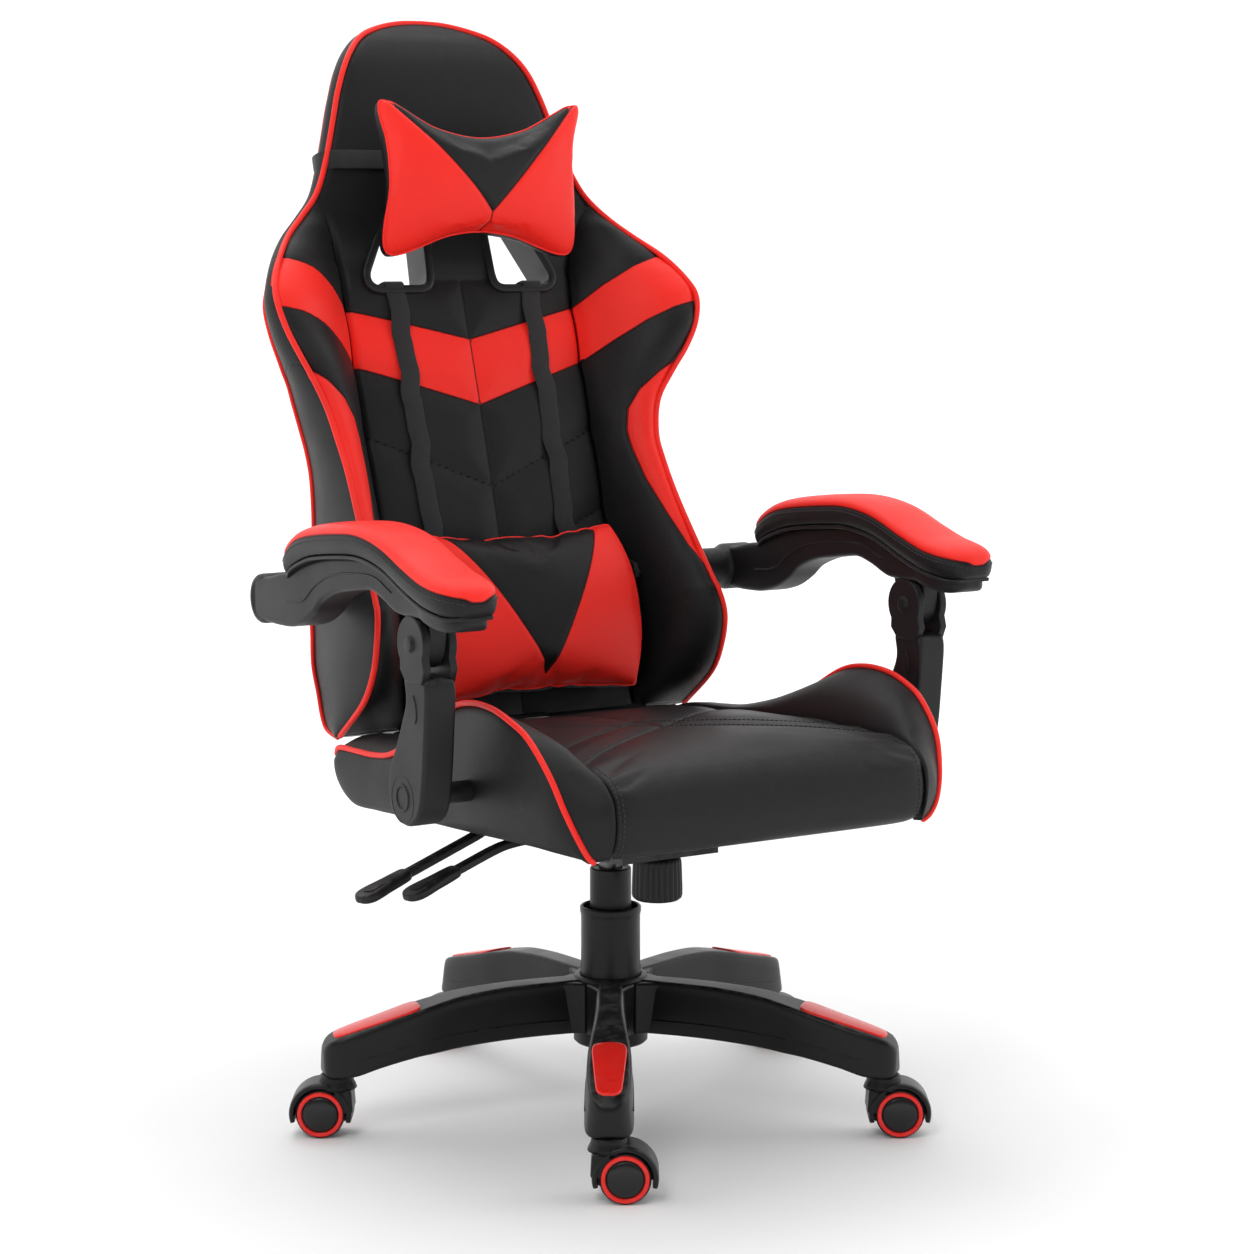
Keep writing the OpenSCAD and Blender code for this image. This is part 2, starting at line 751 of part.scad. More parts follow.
pad_profile = [
    [146, 690], [118, 710], [60, 726], [-7, 735], [-65, 738], [-121, 731], [-175, 712],
    [-223, 699], [-262, 694], [-281, 684], [-283, 664], [-272, 656.4], [-223, 661], [-175, 674],
    [-121, 693], [-65, 701], [-7, 698], [60, 689.5], [118, 675.5], [145.3, 658], [149.2, 668.8],
    [153, 673]
];
pad_plan = [
    [armrest_x - 26, 153], [armrest_x + 26, 153], [armrest_x + 34, 120], [armrest_x + 36, -60],
    [armrest_x + 37, -230], [armrest_x + 28, -266], [armrest_x + 12, -282],
    [armrest_x - 12, -282], [armrest_x - 28, -266], [armrest_x - 37, -230], [armrest_x - 36, -60],
    [armrest_x - 34, 120]
];

module arm_pad(side) {
    color(red) on_side(side) intersection() {
        across(280, 390) polygon(pad_profile);
        translate([0, 0, 600]) linear_extrude(200) polygon(pad_plan);
    }
}

// ---------------------------------------------------------------- the chair

star_base();
arm_inlays();
gas_cylinder();
dust_sleeve();
for (k = [1:arm_count]) {
    caster_hood(k);
    caster_pins(k);
    caster_wheel(k, 1);
    caster_wheel(k, -1);
}
gas_piston();
mechanism_housing();
rocking_pin();
tension_spring();
tension_knob();
lift_lever();
seat_plate();
seat_frame();
seat_webbing();
seat_bolts();
seat_cushion();
seat_bolster(1);  // seat_bolster_left
seat_bolster(-1);  // seat_bolster_right
recline_pins();
arm_bolts_lower();
recline_lever();
back_frame();
back_cushion();
back_bolster(1);  // back_bolster_left
back_bolster(-1);  // back_bolster_right
back_shell();
window_trims();
arm_bolts_rear();
head_pillow();
head_strap();
lumbar_cushion();
lumbar_straps();
arm_post(1);  // arm_post_left
arm_post(-1);  // arm_post_right
arm_frame(1);  // arm_frame_left
arm_frame(-1);  // arm_frame_right
arm_pad(1);  // arm_pad_left
arm_pad(-1);  // arm_pad_right
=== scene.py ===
import json
import math

import bmesh
import bpy
import numpy as np
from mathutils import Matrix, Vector
from mathutils.bvhtree import BVHTree


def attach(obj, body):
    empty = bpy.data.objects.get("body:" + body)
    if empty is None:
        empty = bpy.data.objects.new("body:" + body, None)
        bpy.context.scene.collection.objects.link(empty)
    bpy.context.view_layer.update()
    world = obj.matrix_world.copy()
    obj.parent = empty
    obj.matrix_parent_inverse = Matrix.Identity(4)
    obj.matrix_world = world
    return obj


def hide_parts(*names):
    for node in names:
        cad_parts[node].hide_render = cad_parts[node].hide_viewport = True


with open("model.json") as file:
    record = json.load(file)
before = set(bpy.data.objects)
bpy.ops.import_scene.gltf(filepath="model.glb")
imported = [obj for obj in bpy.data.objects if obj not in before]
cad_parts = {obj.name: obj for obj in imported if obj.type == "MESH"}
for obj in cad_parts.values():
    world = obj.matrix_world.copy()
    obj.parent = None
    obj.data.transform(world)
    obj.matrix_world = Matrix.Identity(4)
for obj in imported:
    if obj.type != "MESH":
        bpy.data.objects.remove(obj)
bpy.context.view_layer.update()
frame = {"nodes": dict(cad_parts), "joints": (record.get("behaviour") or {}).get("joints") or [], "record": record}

MM = 0.001
JOINTS = {joint["name"]: joint for joint in frame["joints"]}


# ------------------------------------------------------------------ lines and outlines

def flow(points, step, closed=False):
    """A smooth curve through the points, resampled at an even step."""
    given = np.asarray(points, float)
    if closed:
        given = np.vstack([given[-1], given, given[0], given[1]])
    else:
        given = np.vstack([2 * given[0] - given[1], given, 2 * given[-1] - given[-2]])
    t = np.linspace(0, 1, 16, endpoint=False)[:, None]
    dense = []
    for before, a, b, after in zip(given[:-3], given[1:-2], given[2:-1], given[3:]):
        dense.append(a + 0.5 * t * (b - before + t * (2 * before - 5 * a + 4 * b - after
                                                      + t * (3 * (a - b) + after - before))))
    dense = np.vstack(dense + [given[-2:-1]])
    return even(dense, step)


def even(line, step):
    """The same line with its points an even step apart."""
    line = np.asarray(line, float)
    along = np.concatenate([[0], np.cumsum(np.linalg.norm(np.diff(line, axis=0), axis=1))])
    wanted = np.linspace(0, along[-1], max(3, int(round(along[-1] / step)) + 1))
    return np.stack([np.interp(wanted, along, line[:, k]) for k in range(line.shape[1])], -1)


def through(points):
    """A smooth function of one number through (where, value) points."""
    curve = flow(points, 2.0)
    curve = curve[np.argsort(curve[:, 0])]
    return lambda where: np.interp(where, curve[:, 0], curve[:, 1])


def ease(low, high, value):
    """0 below low, 1 above high, and smooth between them."""
    t = np.clip((value - low) / (high - low), 0, 1)
    return t * t * (3 - 2 * t)


def rounded(outline, radius, steps=5):
    """A closed flat outline with its corners rounded."""
    points = np.asarray(outline, float)
    result = []
    for before, corner, after in zip(np.roll(points, 1, 0), points, np.roll(points, -1, 0)):
        to_before = before - corner
        to_after = after - corner
        start = corner + to_before * min(0.48, radius / np.linalg.norm(to_before))
        end = corner + to_after * min(0.48, radius / np.linalg.norm(to_after))
        for t in np.linspace(0, 1, steps + 1):
            result.append((1 - t) ** 2 * start + 2 * t * (1 - t) * corner + t * t * end)
    return np.array(result)


def inset(outline, amount):
    """A closed flat outline moved inwards, or outwards for a negative amount."""
    points = np.asarray(outline, float)
    following = np.roll(points, -1, 0)
    area = np.sum(points[:, 0] * following[:, 1] - following[:, 0] * points[:, 1])
    edge = following - points
    edge /= np.maximum(np.linalg.norm(edge, axis=1, keepdims=True), 1e-9)
    normal = np.stack([-edge[:, 1], edge[:, 0]], -1) * np.sign(area)
    both = normal + np.roll(normal, 1, 0)
    both /= np.maximum(np.linalg.norm(both, axis=1, keepdims=True), 1e-9)
    stretch = np.maximum(np.sum(both * normal, axis=1, keepdims=True), 0.5)
    return points + both * amount / stretch


def line_distance(u, v, line):
    """Distance of each (u, v) from a line of points."""
    best = np.full(np.shape(u), 1e6)
    for (au, av), (bu, bv) in zip(line[:-1], line[1:]):
        du, dv = bu - au, bv - av
        t = np.clip(((u - au) * du + (v - av) * dv) / (du * du + dv * dv), 0, 1)
        best = np.minimum(best, np.hypot(u - au - t * du, v - av - t * dv))
    return best


def nearest_line(u, v, lines):
    """Distance of each (u, v) from the nearest of some lines."""
    return np.min([line_distance(u, v, line) for line in lines], 0)


def inside_distance(u, v, outline):
    """Distance of each (u, v) from a closed outline, positive inside it."""
    ring = list(outline) + [outline[0]]
    within = np.zeros(np.shape(u), bool)
    for (au, av), (bu, bv) in zip(ring[:-1], ring[1:]):
        crosses = (av > v) != (bv > v)
        within ^= crosses & (u < au + (bu - au) * (v - av) / (bv - av + 1e-9))
    return np.where(within, 1.0, -1.0) * line_distance(u, v, ring)


# ------------------------------------------------------------------ meshes

class Build:
    """Gathers skins, in millimetres, into one piece."""

    def __init__(self):
        self.points = []
        self.faces = []
        self.inks = []

    def skin(self, rows, around=True, ends=True, ring=False, ink=0):
        """A surface over rows of points. around closes each row, ring joins the last row to the first."""
        rows = np.asarray(rows, float)
        count, width = rows.shape[:2]
        start = len(self.points)
        self.points.extend(rows.reshape(-1, 3).tolist())
        made = []
        for i in range(count if ring else count - 1):
            low, high = i * width, (i + 1) % count * width
            for j in range(width if around else width - 1):
                k = (j + 1) % width
                made.append((low + j, low + k, high + k, high + j))
        if ends and around and not ring:
            made.append(tuple(range(width - 1, -1, -1)))
            made.append(tuple(range((count - 1) * width, count * width)))
        self.faces.extend([tuple(start + n for n in face) for face in made])
        self.inks.extend([ink] * len(made))
        return self

    def mesh(self, name, materials):
        mesh = bpy.data.meshes.new(name)
        mesh.from_pydata((np.array(self.points) * MM).tolist(), [], self.faces)
        mesh.polygons.foreach_set("material_index", self.inks)
        for material in materials:
            mesh.materials.append(material)
        tidy = bmesh.new()
        tidy.from_mesh(mesh)
        bmesh.ops.remove_doubles(tidy, verts=tidy.verts, dist=0.02 * MM)
        bmesh.ops.dissolve_degenerate(tidy, edges=tidy.edges, dist=0.01 * MM)
        bmesh.ops.recalc_face_normals(tidy, faces=tidy.faces)
        tidy.to_mesh(mesh)
        tidy.free()
        mesh.shade_smooth()
        return mesh

    def piece(self, name, body, slot, materials, replaces=()):
        return place(self.mesh(name, materials), name, body, replaces)


def place(mesh, name, body, replaces=()):
    """Puts a mesh in the scene as a piece that rides on a body."""
    obj = bpy.data.objects.new(name, mesh)
    bpy.context.scene.collection.objects.link(obj)
    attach(obj, body)
    if replaces:
        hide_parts(*replaces)
    return obj


def crisp(obj):
    """Keeps flat faces flat on a smooth-shaded hard piece."""
    obj.modifiers.new("weighted", "WEIGHTED_NORMAL").keep_sharp = True
    return obj


def basis(axis):
    """Three directions, the last along axis, for turned and extruded shapes."""
    w = np.asarray(axis, float) / np.linalg.norm(axis)
    hint = np.array([0.0, 0, 1])
    if abs(hint @ w) > 0.95:
        hint = np.array([1.0, 0, 0])
    u = hint - (hint @ w) * w
    u /= np.linalg.norm(u)
    return u, np.cross(w, u), w


def revolve(profile, at, axis=(0, 0, 1), count=48, shape=None):
    """Rows of a profile of (radius, height) points turned about an axis. shape changes radius by angle."""
    u, v, w = basis(axis)
    angle = np.arange(count) * 2 * math.pi / count
    rows = []
    for number, (radius, height) in enumerate(profile):
        reach = radius * (shape(number, angle) if shape else 1.0)
        rows.append(np.asarray(at, float) + height * w
                    + np.outer(reach * np.cos(angle), u) + np.outer(reach * np.sin(angle), v))
    return np.array(rows)


def prism(outline, low, high, edge, onto, steps=3):
    """Rows of an outline's prism with softened rims. onto turns (u, v, w) into a point."""
    turn = np.linspace(0, math.pi / 2, steps + 1)
    levels = [(edge * (1 - math.sin(t)), low + edge * (1 - math.cos(t))) for t in turn]
    levels += [(edge * (1 - math.cos(t)), high - edge * (1 - math.sin(t))) for t in turn]
    rows = []
    for amount, level in levels:
        ring = inset(outline, amount)
        rows.append(onto(ring[:, 0], ring[:, 1], np.full(len(ring), level)))
    return np.array(rows)


def across(u, v, w):
    """Outlines in Y and Z, extruded across the chair."""
    return np.stack([w, u, v], -1)


def sweep(path, section, side=None, closed=False, scale=None):
    """Rows of a flat section carried along a path. side holds the section's first direction."""
    path = np.asarray(path, float)
    section = np.asarray(section, float)
    tangent = np.roll(path, -1, 0) - np.roll(path, 1, 0) if closed else np.gradient(path, axis=0)
    tangent /= np.linalg.norm(tangent, axis=1, keepdims=True)
    u = np.zeros_like(path)
    held = np.asarray(side, float) if side is not None else basis(tangent[0])[0]
    for i, along in enumerate(tangent):
        want = held[i] if held.ndim == 2 else held
        flat = want - (want @ along) * along
        u[i] = flat / np.linalg.norm(flat)
        if side is None:
            held = u[i]
    v = np.cross(tangent, u)
    size = np.ones(len(path)) if scale is None else np.asarray(scale, float)
    return (path[:, None] + size[:, None, None]
            * (u[:, None] * section[None, :, :1] + v[:, None] * section[None, :, 1:]))


def circle(radius, count):
    """A round section of count points."""
    angle = np.arange(count) * 2 * math.pi / count
    return np.stack([radius * np.cos(angle), radius * np.sin(angle)], -1)


def box_section(half_w, half_h, corner, steps):
    """A rectangular section with rounded corners."""
    outline = [(-half_w, -half_h), (half_w, -half_h), (half_w, half_h), (-half_w, half_h)]
    return rounded(outline, corner, steps)


def rope(build, path, radius, count, closed=False):
    """A round cord or rod along a path, with rounded ends."""
    rows = sweep(path, circle(radius, count), closed=closed)
    if closed:
        return build.skin(rows, ring=True)
    caps = []
    for ring, end, before in ((rows[:1], path[0], path[1]), (rows[-1:], path[-1], path[-2])):
        middle = ring.mean(1, keepdims=True)
        out = (end - before) / np.linalg.norm(end - before) * radius
        caps.append([middle + (ring - middle) * math.cos(t) + out * math.sin(t) for t in (0.5, 1.0, 1.4)])
    return build.skin(np.vstack([*caps[0][::-1], rows, *caps[1]]))


def lay(obj, path, lift=0.0):
    """A path moved onto a piece's surface, lifted off it, with the surface's directions there."""
    obj_eval = obj.evaluated_get(bpy.context.evaluated_depsgraph_get())
    tree = BVHTree.FromPolygons([v.co.copy() for v in obj_eval.data.vertices],
                                [tuple(p.vertices) for p in obj_eval.data.polygons])
    points, normals = [], []
    for point in np.asarray(path, float):
        spot, normal, _, _ = tree.find_nearest(Vector(point * MM))
        points.append(np.array(spot) / MM + np.array(normal) * lift)
        normals.append(np.array(normal))
    return np.array(points), np.array(normals)


def stitch(build, pad, line, length=3.6, pitch=5.6, radius=0.55):
    """A row of short threads on a pad's surface, along the line nearest to the given one."""
    path, normals = lay(pad, even(line, 3), 0.1)
    along = np.concatenate([[0], np.cumsum(np.linalg.norm(np.diff(path, axis=0), axis=1))])
    swell = np.array([0.25, 0.85, 1.0, 0.85, 0.25])
    for start in np.arange(pitch / 2, along[-1] - length, pitch):
        spots = start + length * np.array([0, 0.15, 0.5, 0.85, 1])
        thread = np.stack([np.interp(spots, along, path[:, k]) for k in range(3)], -1)
        normal = np.array([np.interp(start, along, normals[:, k]) for k in range(3)])
        thread += normal * radius * (swell[:, None] - 0.4)
        build.skin(sweep(thread, circle(radius, 6), side=normal, scale=swell))


def coordinates(mesh):
    """A mesh's points, in millimetres."""
    co = np.zeros(len(mesh.vertices) * 3, np.float32)
    mesh.vertices.foreach_get("co", co)
    return co.reshape(-1, 3).astype(float) / MM


def set_coordinates(mesh, points):
    """Moves a mesh's points, given in millimetres."""
    mesh.vertices.foreach_set("co", (np.asarray(points) * MM).astype(np.float32).ravel())
    mesh.update()


def mark(mesh, name, values):
    """Stores one number per point, in millimetres, for the material to read."""
    attribute = mesh.attributes.get(name) or mesh.attributes.new(name, "FLOAT", "POINT")
    attribute.data.foreach_set("value", np.asarray(values, np.float32).ravel())


def refine(obj):
    """Applies one subdivision to a piece's mesh."""
    divided = obj.modifiers.new("divide", "SUBSURF")
    divided.levels = 1
    divided.render_levels = 1
    bake_modifiers(obj)


def bake_modifiers(obj):
    """Turns a piece's mesh into what its modifiers make of it."""
    finished = bpy.data.meshes.new_from_object(obj.evaluated_get(bpy.context.evaluated_depsgraph_get()))
    obj.modifiers.clear()
    obj.data = finished
    obj.data.shade_smooth()


CLOTH_FRAMES = 20
CLOTH_PRESSURE = 4.0


def stuff(obj, voxel, cap, hold=None):
    """Fills a closed cover with air as cloth: remesh, inflate, and limit how far a point may move.

    hold says which points stay in place."""
    bpy.context.view_layer.objects.active = obj
    obj.data.remesh_voxel_size = voxel * MM
    bpy.ops.object.voxel_remesh()
    start = coordinates(obj.data)
    cloth = obj.modifiers.new("cloth", "CLOTH")
    cloth.settings.quality = 4
    cloth.settings.use_pressure = True
    cloth.settings.uniform_pressure_force = CLOTH_PRESSURE
    cloth.settings.effector_weights.gravity = 0
    cloth.point_cache.frame_end = CLOTH_FRAMES
    if hold is not None:
        pins = obj.vertex_groups.new(name="held")
        pins.add(np.nonzero(hold(start))[0].tolist(), 1.0, "REPLACE")
        cloth.settings.vertex_group_mass = "held"
    for number in range(1, CLOTH_FRAMES + 1):
        bpy.context.scene.frame_set(number)
    view = obj.evaluated_get(bpy.context.evaluated_depsgraph_get())
    moved = coordinates(view.data) - start
    obj.modifiers.clear()
    obj.vertex_groups.clear()
    reach = np.maximum(np.linalg.norm(moved, axis=1, keepdims=True), 1e-9)
    set_coordinates(obj.data, start + moved * np.minimum(1, cap / reach))
    bpy.context.scene.frame_set(1)
    obj.data.shade_smooth()
    refine(obj)


# ------------------------------------------------------------------ shader groups

def put(tree, kind, inputs=None, **settings):
    """Adds a node. inputs are numbers, colours or the sockets that feed it, by name or place."""
    made = tree.nodes.new(kind)
    for key, value in settings.items():
        setattr(made, key, value)
    for key, value in (inputs or {}).items():
        socket = made.inputs[key]
        if isinstance(value, bpy.types.NodeSocket):
            tree.links.new(value, socket)
        else:
            socket.default_value = value
    return made


def sums(tree, operation, first, second=0.0):
    """One step of arithmetic."""
    return put(tree, "ShaderNodeMath", {0: first, 1: second}, operation=operation).outputs[0]


def vectors(tree, operation, first, second=(0, 0, 0)):
    """One step of vector arithmetic, as the node's outputs."""
    return put(tree, "ShaderNodeVectorMath", {0: first, 1: second}, operation=operation).outputs


def band(tree, value, low, high, to_low=0.0, to_high=1.0):
    """Maps low..high onto to_low..to_high, with soft ends."""
    return put(tree, "ShaderNodeMapRange", {"Value": value, "From Min": low, "From Max": high,
                                            "To Min": to_low, "To Max": to_high},
               interpolation_type="SMOOTHSTEP").outputs[0]


def noise(tree, where, scale, detail=3.0, rough=0.55):
    """Cloudy variation from 0 to 1."""
    return put(tree, "ShaderNodeTexNoise", {"Vector": where, "Scale": scale, "Detail": detail,
                                            "Roughness": rough}).outputs["Fac"]


def blend_colour(tree, factor, first, second):
    """first where factor is 0, second where it is 1."""
    return put(tree, "ShaderNodeMix", {0: factor, 6: first, 7: second}, data_type="RGBA").outputs[2]


def group(name, inputs, outputs):
    """A shader group with named float inputs and outputs, and its own start and end nodes."""
    tree = bpy.data.node_groups.new(name, "ShaderNodeTree")
    for label, value in inputs.items():
        socket = tree.interface.new_socket(label, in_out="INPUT", socket_type="NodeSocketFloat")
        socket.default_value = value
    for label in outputs:
        tree.interface.new_socket(label, in_out="OUTPUT", socket_type="NodeSocketFloat")
    start = tree.nodes.new("NodeGroupInput")
    end = tree.nodes.new("NodeGroupOutput")
    where = tree.nodes.new("ShaderNodeTexCoord").outputs["Object"]
    return tree, start.outputs, end.inputs, where


def leather_grain():
    """Pebbled grain with slow creases. Height goes to a bump, Tone varies colour and gloss."""
    tree, given, result, where = group("leather grain", {"Cells": 620.0, "Creases": 0.35},
                                       ["Height", "Tone"])
    warp = put(tree, "ShaderNodeTexNoise", {"Vector": where, "Scale": 160.0, "Detail": 2.0})
    bend = vectors(tree, "MULTIPLY", warp.outputs["Color"], (2.2 * MM,) * 3)[0]
    bent = vectors(tree, "ADD", where, bend)[0]
    cells = put(tree, "ShaderNodeTexVoronoi", {"Vector": bent, "Scale": given["Cells"]},
                feature="DISTANCE_TO_EDGE").outputs["Distance"]
    pebble = band(tree, cells, 0.0, 0.22)
    crease = band(tree, noise(tree, where, 22.0, 4.0), 0.42, 0.6)
    slow = sums(tree, "MULTIPLY", crease, given["Creases"])
    tree.links.new(sums(tree, "ADD", pebble, slow), result["Height"])
    tree.links.new(noise(tree, where, 9.0), result["Tone"])
    return tree


def moulded_grain():
    """Fine spark-eroded texture of moulded plastic."""
    tree, given, result, where = group("moulded grain", {"Cells": 900.0}, ["Height", "Tone"])
    tree.links.new(noise(tree, where, given["Cells"], 2.0, 0.7), result["Height"])
    tree.links.new(noise(tree, where, 14.0), result["Tone"])
    return tree


def edge_wear():
    """Where rims are rubbed: 1 on worn edges, broken up by noise."""
    tree, given, result, where = group("edge wear", {"Amount": 0.5, "Breakup": 70.0}, ["Mask"])
    point = tree.nodes.new("ShaderNodeNewGeometry").outputs["Pointiness"]
    rim_mask = band(tree, point, 0.53, 0.62)
    patchy = band(tree, noise(tree, where, given["Breakup"], 4.0), 0.38, 0.62)
    both = sums(tree, "MULTIPLY", rim_mask, patchy)
    tree.links.new(sums(tree, "MULTIPLY", both, given["Amount"]), result["Mask"])
    return tree


def dust():
    """A thin settled film on surfaces that face up."""
    tree, given, result, where = group("dust", {"Amount": 0.2}, ["Mask"])
    facing = tree.nodes.new("ShaderNodeNewGeometry").outputs["Normal"]
    up = put(tree, "ShaderNodeSeparateXYZ", {0: facing}).outputs["Z"]
    lying = band(tree, up, 0.35, 1.0)
    specks = band(tree, noise(tree, where, 45.0, 6.0, 0.7), 0.4, 0.7)
    both = sums(tree, "MULTIPLY", lying, specks)
    tree.links.new(sums(tree, "MULTIPLY", both, given["Amount"]), result["Mask"])
    return tree


def sewn_patch():
    """Reads a piece's marks: Red is 1 inside the red patches, Seam is 0 in a seam and 1 away from it."""
    tree, given, result, _ = group("sewn patch", {"Seam width": 1.6}, ["Red", "Seam"])
    red_mark = put(tree, "ShaderNodeAttribute", attribute_name="red").outputs["Fac"]
    seam_mark = put(tree, "ShaderNodeAttribute", attribute_name="seam").outputs["Fac"]
    tree.links.new(band(tree, red_mark, -0.3, 0.3), result["Red"])
    nearest = sums(tree, "MINIMUM", seam_mark, sums(tree, "ABSOLUTE", red_mark))
    tree.links.new(band(tree, sums(tree, "DIVIDE", nearest, given["Seam width"]), 0.1, 1.0),
                   result["Seam"])
    return tree


def webbing_weave():
    """Ribs along the strap crossed by picks of yarn."""
    tree, given, result, where = group("webbing weave", {"Ribs": 3600.0, "Picks": 3000.0},
                                       ["Height", "Tone"])
    parts = put(tree, "ShaderNodeSeparateXYZ", {0: where}).outputs
    rib = sums(tree, "SINE", sums(tree, "MULTIPLY", parts["X"], given["Ribs"]))
    tall = sums(tree, "ADD", parts["Z"], sums(tree, "MULTIPLY", parts["Y"], 0.3))
    pick = sums(tree, "SINE", sums(tree, "MULTIPLY", tall, given["Picks"]))
    woven = sums(tree, "MULTIPLY", rib, pick)
    tree.links.new(band(tree, woven, -1.0, 1.0), result["Height"])
    tree.links.new(noise(tree, where, 60.0), result["Tone"])
    return tree


def brushed_lines():
    """Fine turning marks on steel."""
    tree, given, result, where = group("brushed lines", {"Density": 900.0}, ["Height", "Tone"])
    stretched = vectors(tree, "MULTIPLY", where, (1, 1, 12))[0]
    tree.links.new(noise(tree, stretched, given["Density"], 2.0), result["Height"])
    tree.links.new(noise(tree, where, 30.0), result["Tone"])
    return tree


GROUPS = {made.name: made for made in (leather_grain(), moulded_grain(), edge_wear(), dust(),
                                       sewn_patch(), webbing_weave(), brushed_lines())}


def use(tree, name, **values):
    """Places a shader group with its own values."""
    made = tree.nodes.new("ShaderNodeGroup")
    made.node_tree = GROUPS[name]
    for key, value in values.items():
        made.inputs[key].default_value = value
    return made.outputs


# ------------------------------------------------------------------ materials

BLACK = (0.0085, 0.0085, 0.0095, 1)
RED = (0.93, 0.024, 0.016, 1)
SEAM_SHADOW = (0.004, 0.0035, 0.0035, 1)
NO_SEAM = 99
NO_PATCH = -20


def shade(colour, share):
    """A darker or lighter version of a colour."""
    return tuple(channel * share for channel in colour[:3]) + (1,)


def start_material(name, specular=0.5, sheen=0.0, coat=0.0, metallic=0.0):
    """A material with its tree and its Principled shader, plain values set."""
    material = bpy.data.materials.new(name)
    material.use_nodes = True
    tree = material.node_tree
    shader = tree.nodes["Principled BSDF"]
    for socket, value in (("Specular IOR Level", specular), ("Sheen Weight", sheen), ("Coat Weight", coat),
                          ("Coat Roughness", 0.18), ("Metallic", metallic)):
        shader.inputs[socket].default_value = value
    return material, tree, shader


def bump(tree, shader, height, distance, strength, under=None):
    """Relief from a height, on top of an earlier bump where one is given."""
    inputs = {"Height": height, "Distance": distance, "Strength": strength}
    if under is not None:
        inputs["Normal"] = under
    normal = put(tree, "ShaderNodeBump", inputs).outputs["Normal"]
    tree.links.new(normal, shader.inputs["Normal"])
    return normal


def leather(name, colour, patches=False, rough=0.44, cells=620.0):
    """Coated leather: grain, slow tone changes, rubbed rims and, on sewn covers, patches and seams."""
    material, tree, shader = start_material(name, specular=0.22)
    grain = use(tree, "leather grain", Cells=cells)
    rubbed = use(tree, "edge wear", Amount=0.35)["Mask"]
    film = use(tree, "dust", Amount=0.03)["Mask"]
    base = blend_colour(tree, grain["Tone"], shade(colour, 0.82), shade(colour, 1.2))
    fold = None
    if patches:
        sewn = use(tree, "sewn patch")
        red = blend_colour(tree, grain["Tone"], shade(RED, 0.88), shade(RED, 1.06))
        base = blend_colour(tree, sewn["Red"], base, red)
        sunk = band(tree, sewn["Seam"], 0.0, 1.0, 0.25, 1.0)
        base = blend_colour(tree, sunk, SEAM_SHADOW, base)
        fold = bump(tree, shader, sewn["Seam"], 1.4 * MM, 0.9)
    base = blend_colour(tree, sums(tree, "MULTIPLY", rubbed, 0.35), base, (0.16, 0.15, 0.15, 1))
    base = blend_colour(tree, film, base, (0.3, 0.28, 0.26, 1))
    tree.links.new(base, shader.inputs["Base Color"])
    gloss = band(tree, grain["Tone"], 0.2, 0.8, rough - 0.05, rough + 0.07)
    tree.links.new(sums(tree, "ADD", gloss, sums(tree, "MULTIPLY", film, 0.4)),
                   shader.inputs["Roughness"])
    bump(tree, shader, grain["Height"], 0.11 * MM, 0.7, fold)
    return material


def plastic(name, colour, rough=0.42, worn=0.5, dusty=0.25, depth=0.05, coat=0.0):
    """Moulded plastic: fine texture, rubbed edges and a little dust."""
    material, tree, shader = start_material(name, specular=0.25, coat=coat)
    grain = use(tree, "moulded grain")
    rubbed = use(tree, "edge wear", Amount=worn)["Mask"]
    film = use(tree, "dust", Amount=dusty)["Mask"]
    base = blend_colour(tree, grain["Tone"], shade(colour, 0.85), shade(colour, 1.18))
    base = blend_colour(tree, rubbed, base, tuple(min(1, c * 1.5 + 0.02) for c in colour[:3]) + (1,))
    base = blend_colour(tree, film, base, (0.26, 0.25, 0.24, 1))
    tree.links.new(base, shader.inputs["Base Color"])
    gloss = band(tree, grain["Tone"], 0.2, 0.8, rough - 0.05, rough + 0.06)
    gloss = sums(tree, "ADD", gloss, sums(tree, "MULTIPLY", film, 0.4))
    tree.links.new(sums(tree, "SUBTRACT", gloss, sums(tree, "MULTIPLY", rubbed, 0.1)),
                   shader.inputs["Roughness"])
    bump(tree, shader, grain["Height"], depth * MM, 0.6)
    return material


def metal(name, colour, rough, painted=False):
    """Steel, bright or powder-coated."""
    material, tree, shader = start_material(name, specular=0.25, metallic=0.0 if painted else 1.0)
    marks = use(tree, "moulded grain" if painted else "brushed lines")
    rubbed = use(tree, "edge wear", Amount=0.08 if painted else 0.5)["Mask"]
    base = blend_colour(tree, marks["Tone"], shade(colour, 0.85), shade(colour, 1.15))
    base = blend_colour(tree, rubbed, base, (0.2, 0.2, 0.2, 1) if painted else (0.75, 0.75, 0.76, 1))
    tree.links.new(base, shader.inputs["Base Color"])
    tree.links.new(band(tree, marks["Tone"], 0.2, 0.8, rough - 0.06, rough + 0.08),
                   shader.inputs["Roughness"])
    bump(tree, shader, marks["Height"], 0.05 * MM, 0.6)
    return material


def strap_fabric(name, colour):
    """Woven strap or thread, dull with a soft sheen."""
    material, tree, shader = start_material(name, specular=0.3, sheen=0.25)
    weave = use(tree, "webbing weave")
    film = use(tree, "dust", Amount=0.15)["Mask"]
    # Painted shade and highlight: the colour follows the weave's height, darker in its hollows and lighter on its
    # ridges.
    base = blend_colour(tree, weave["Height"], shade(colour, 0.6), shade(colour, 1.5))
    base = blend_colour(tree, film, base, (0.2, 0.2, 0.2, 1))
    tree.links.new(base, shader.inputs["Base Color"])
    tree.links.new(band(tree, weave["Tone"], 0.0, 1.0, 0.68, 0.85), shader.inputs["Roughness"])
    bump(tree, shader, weave["Height"], 0.25 * MM, 0.8)
    return material


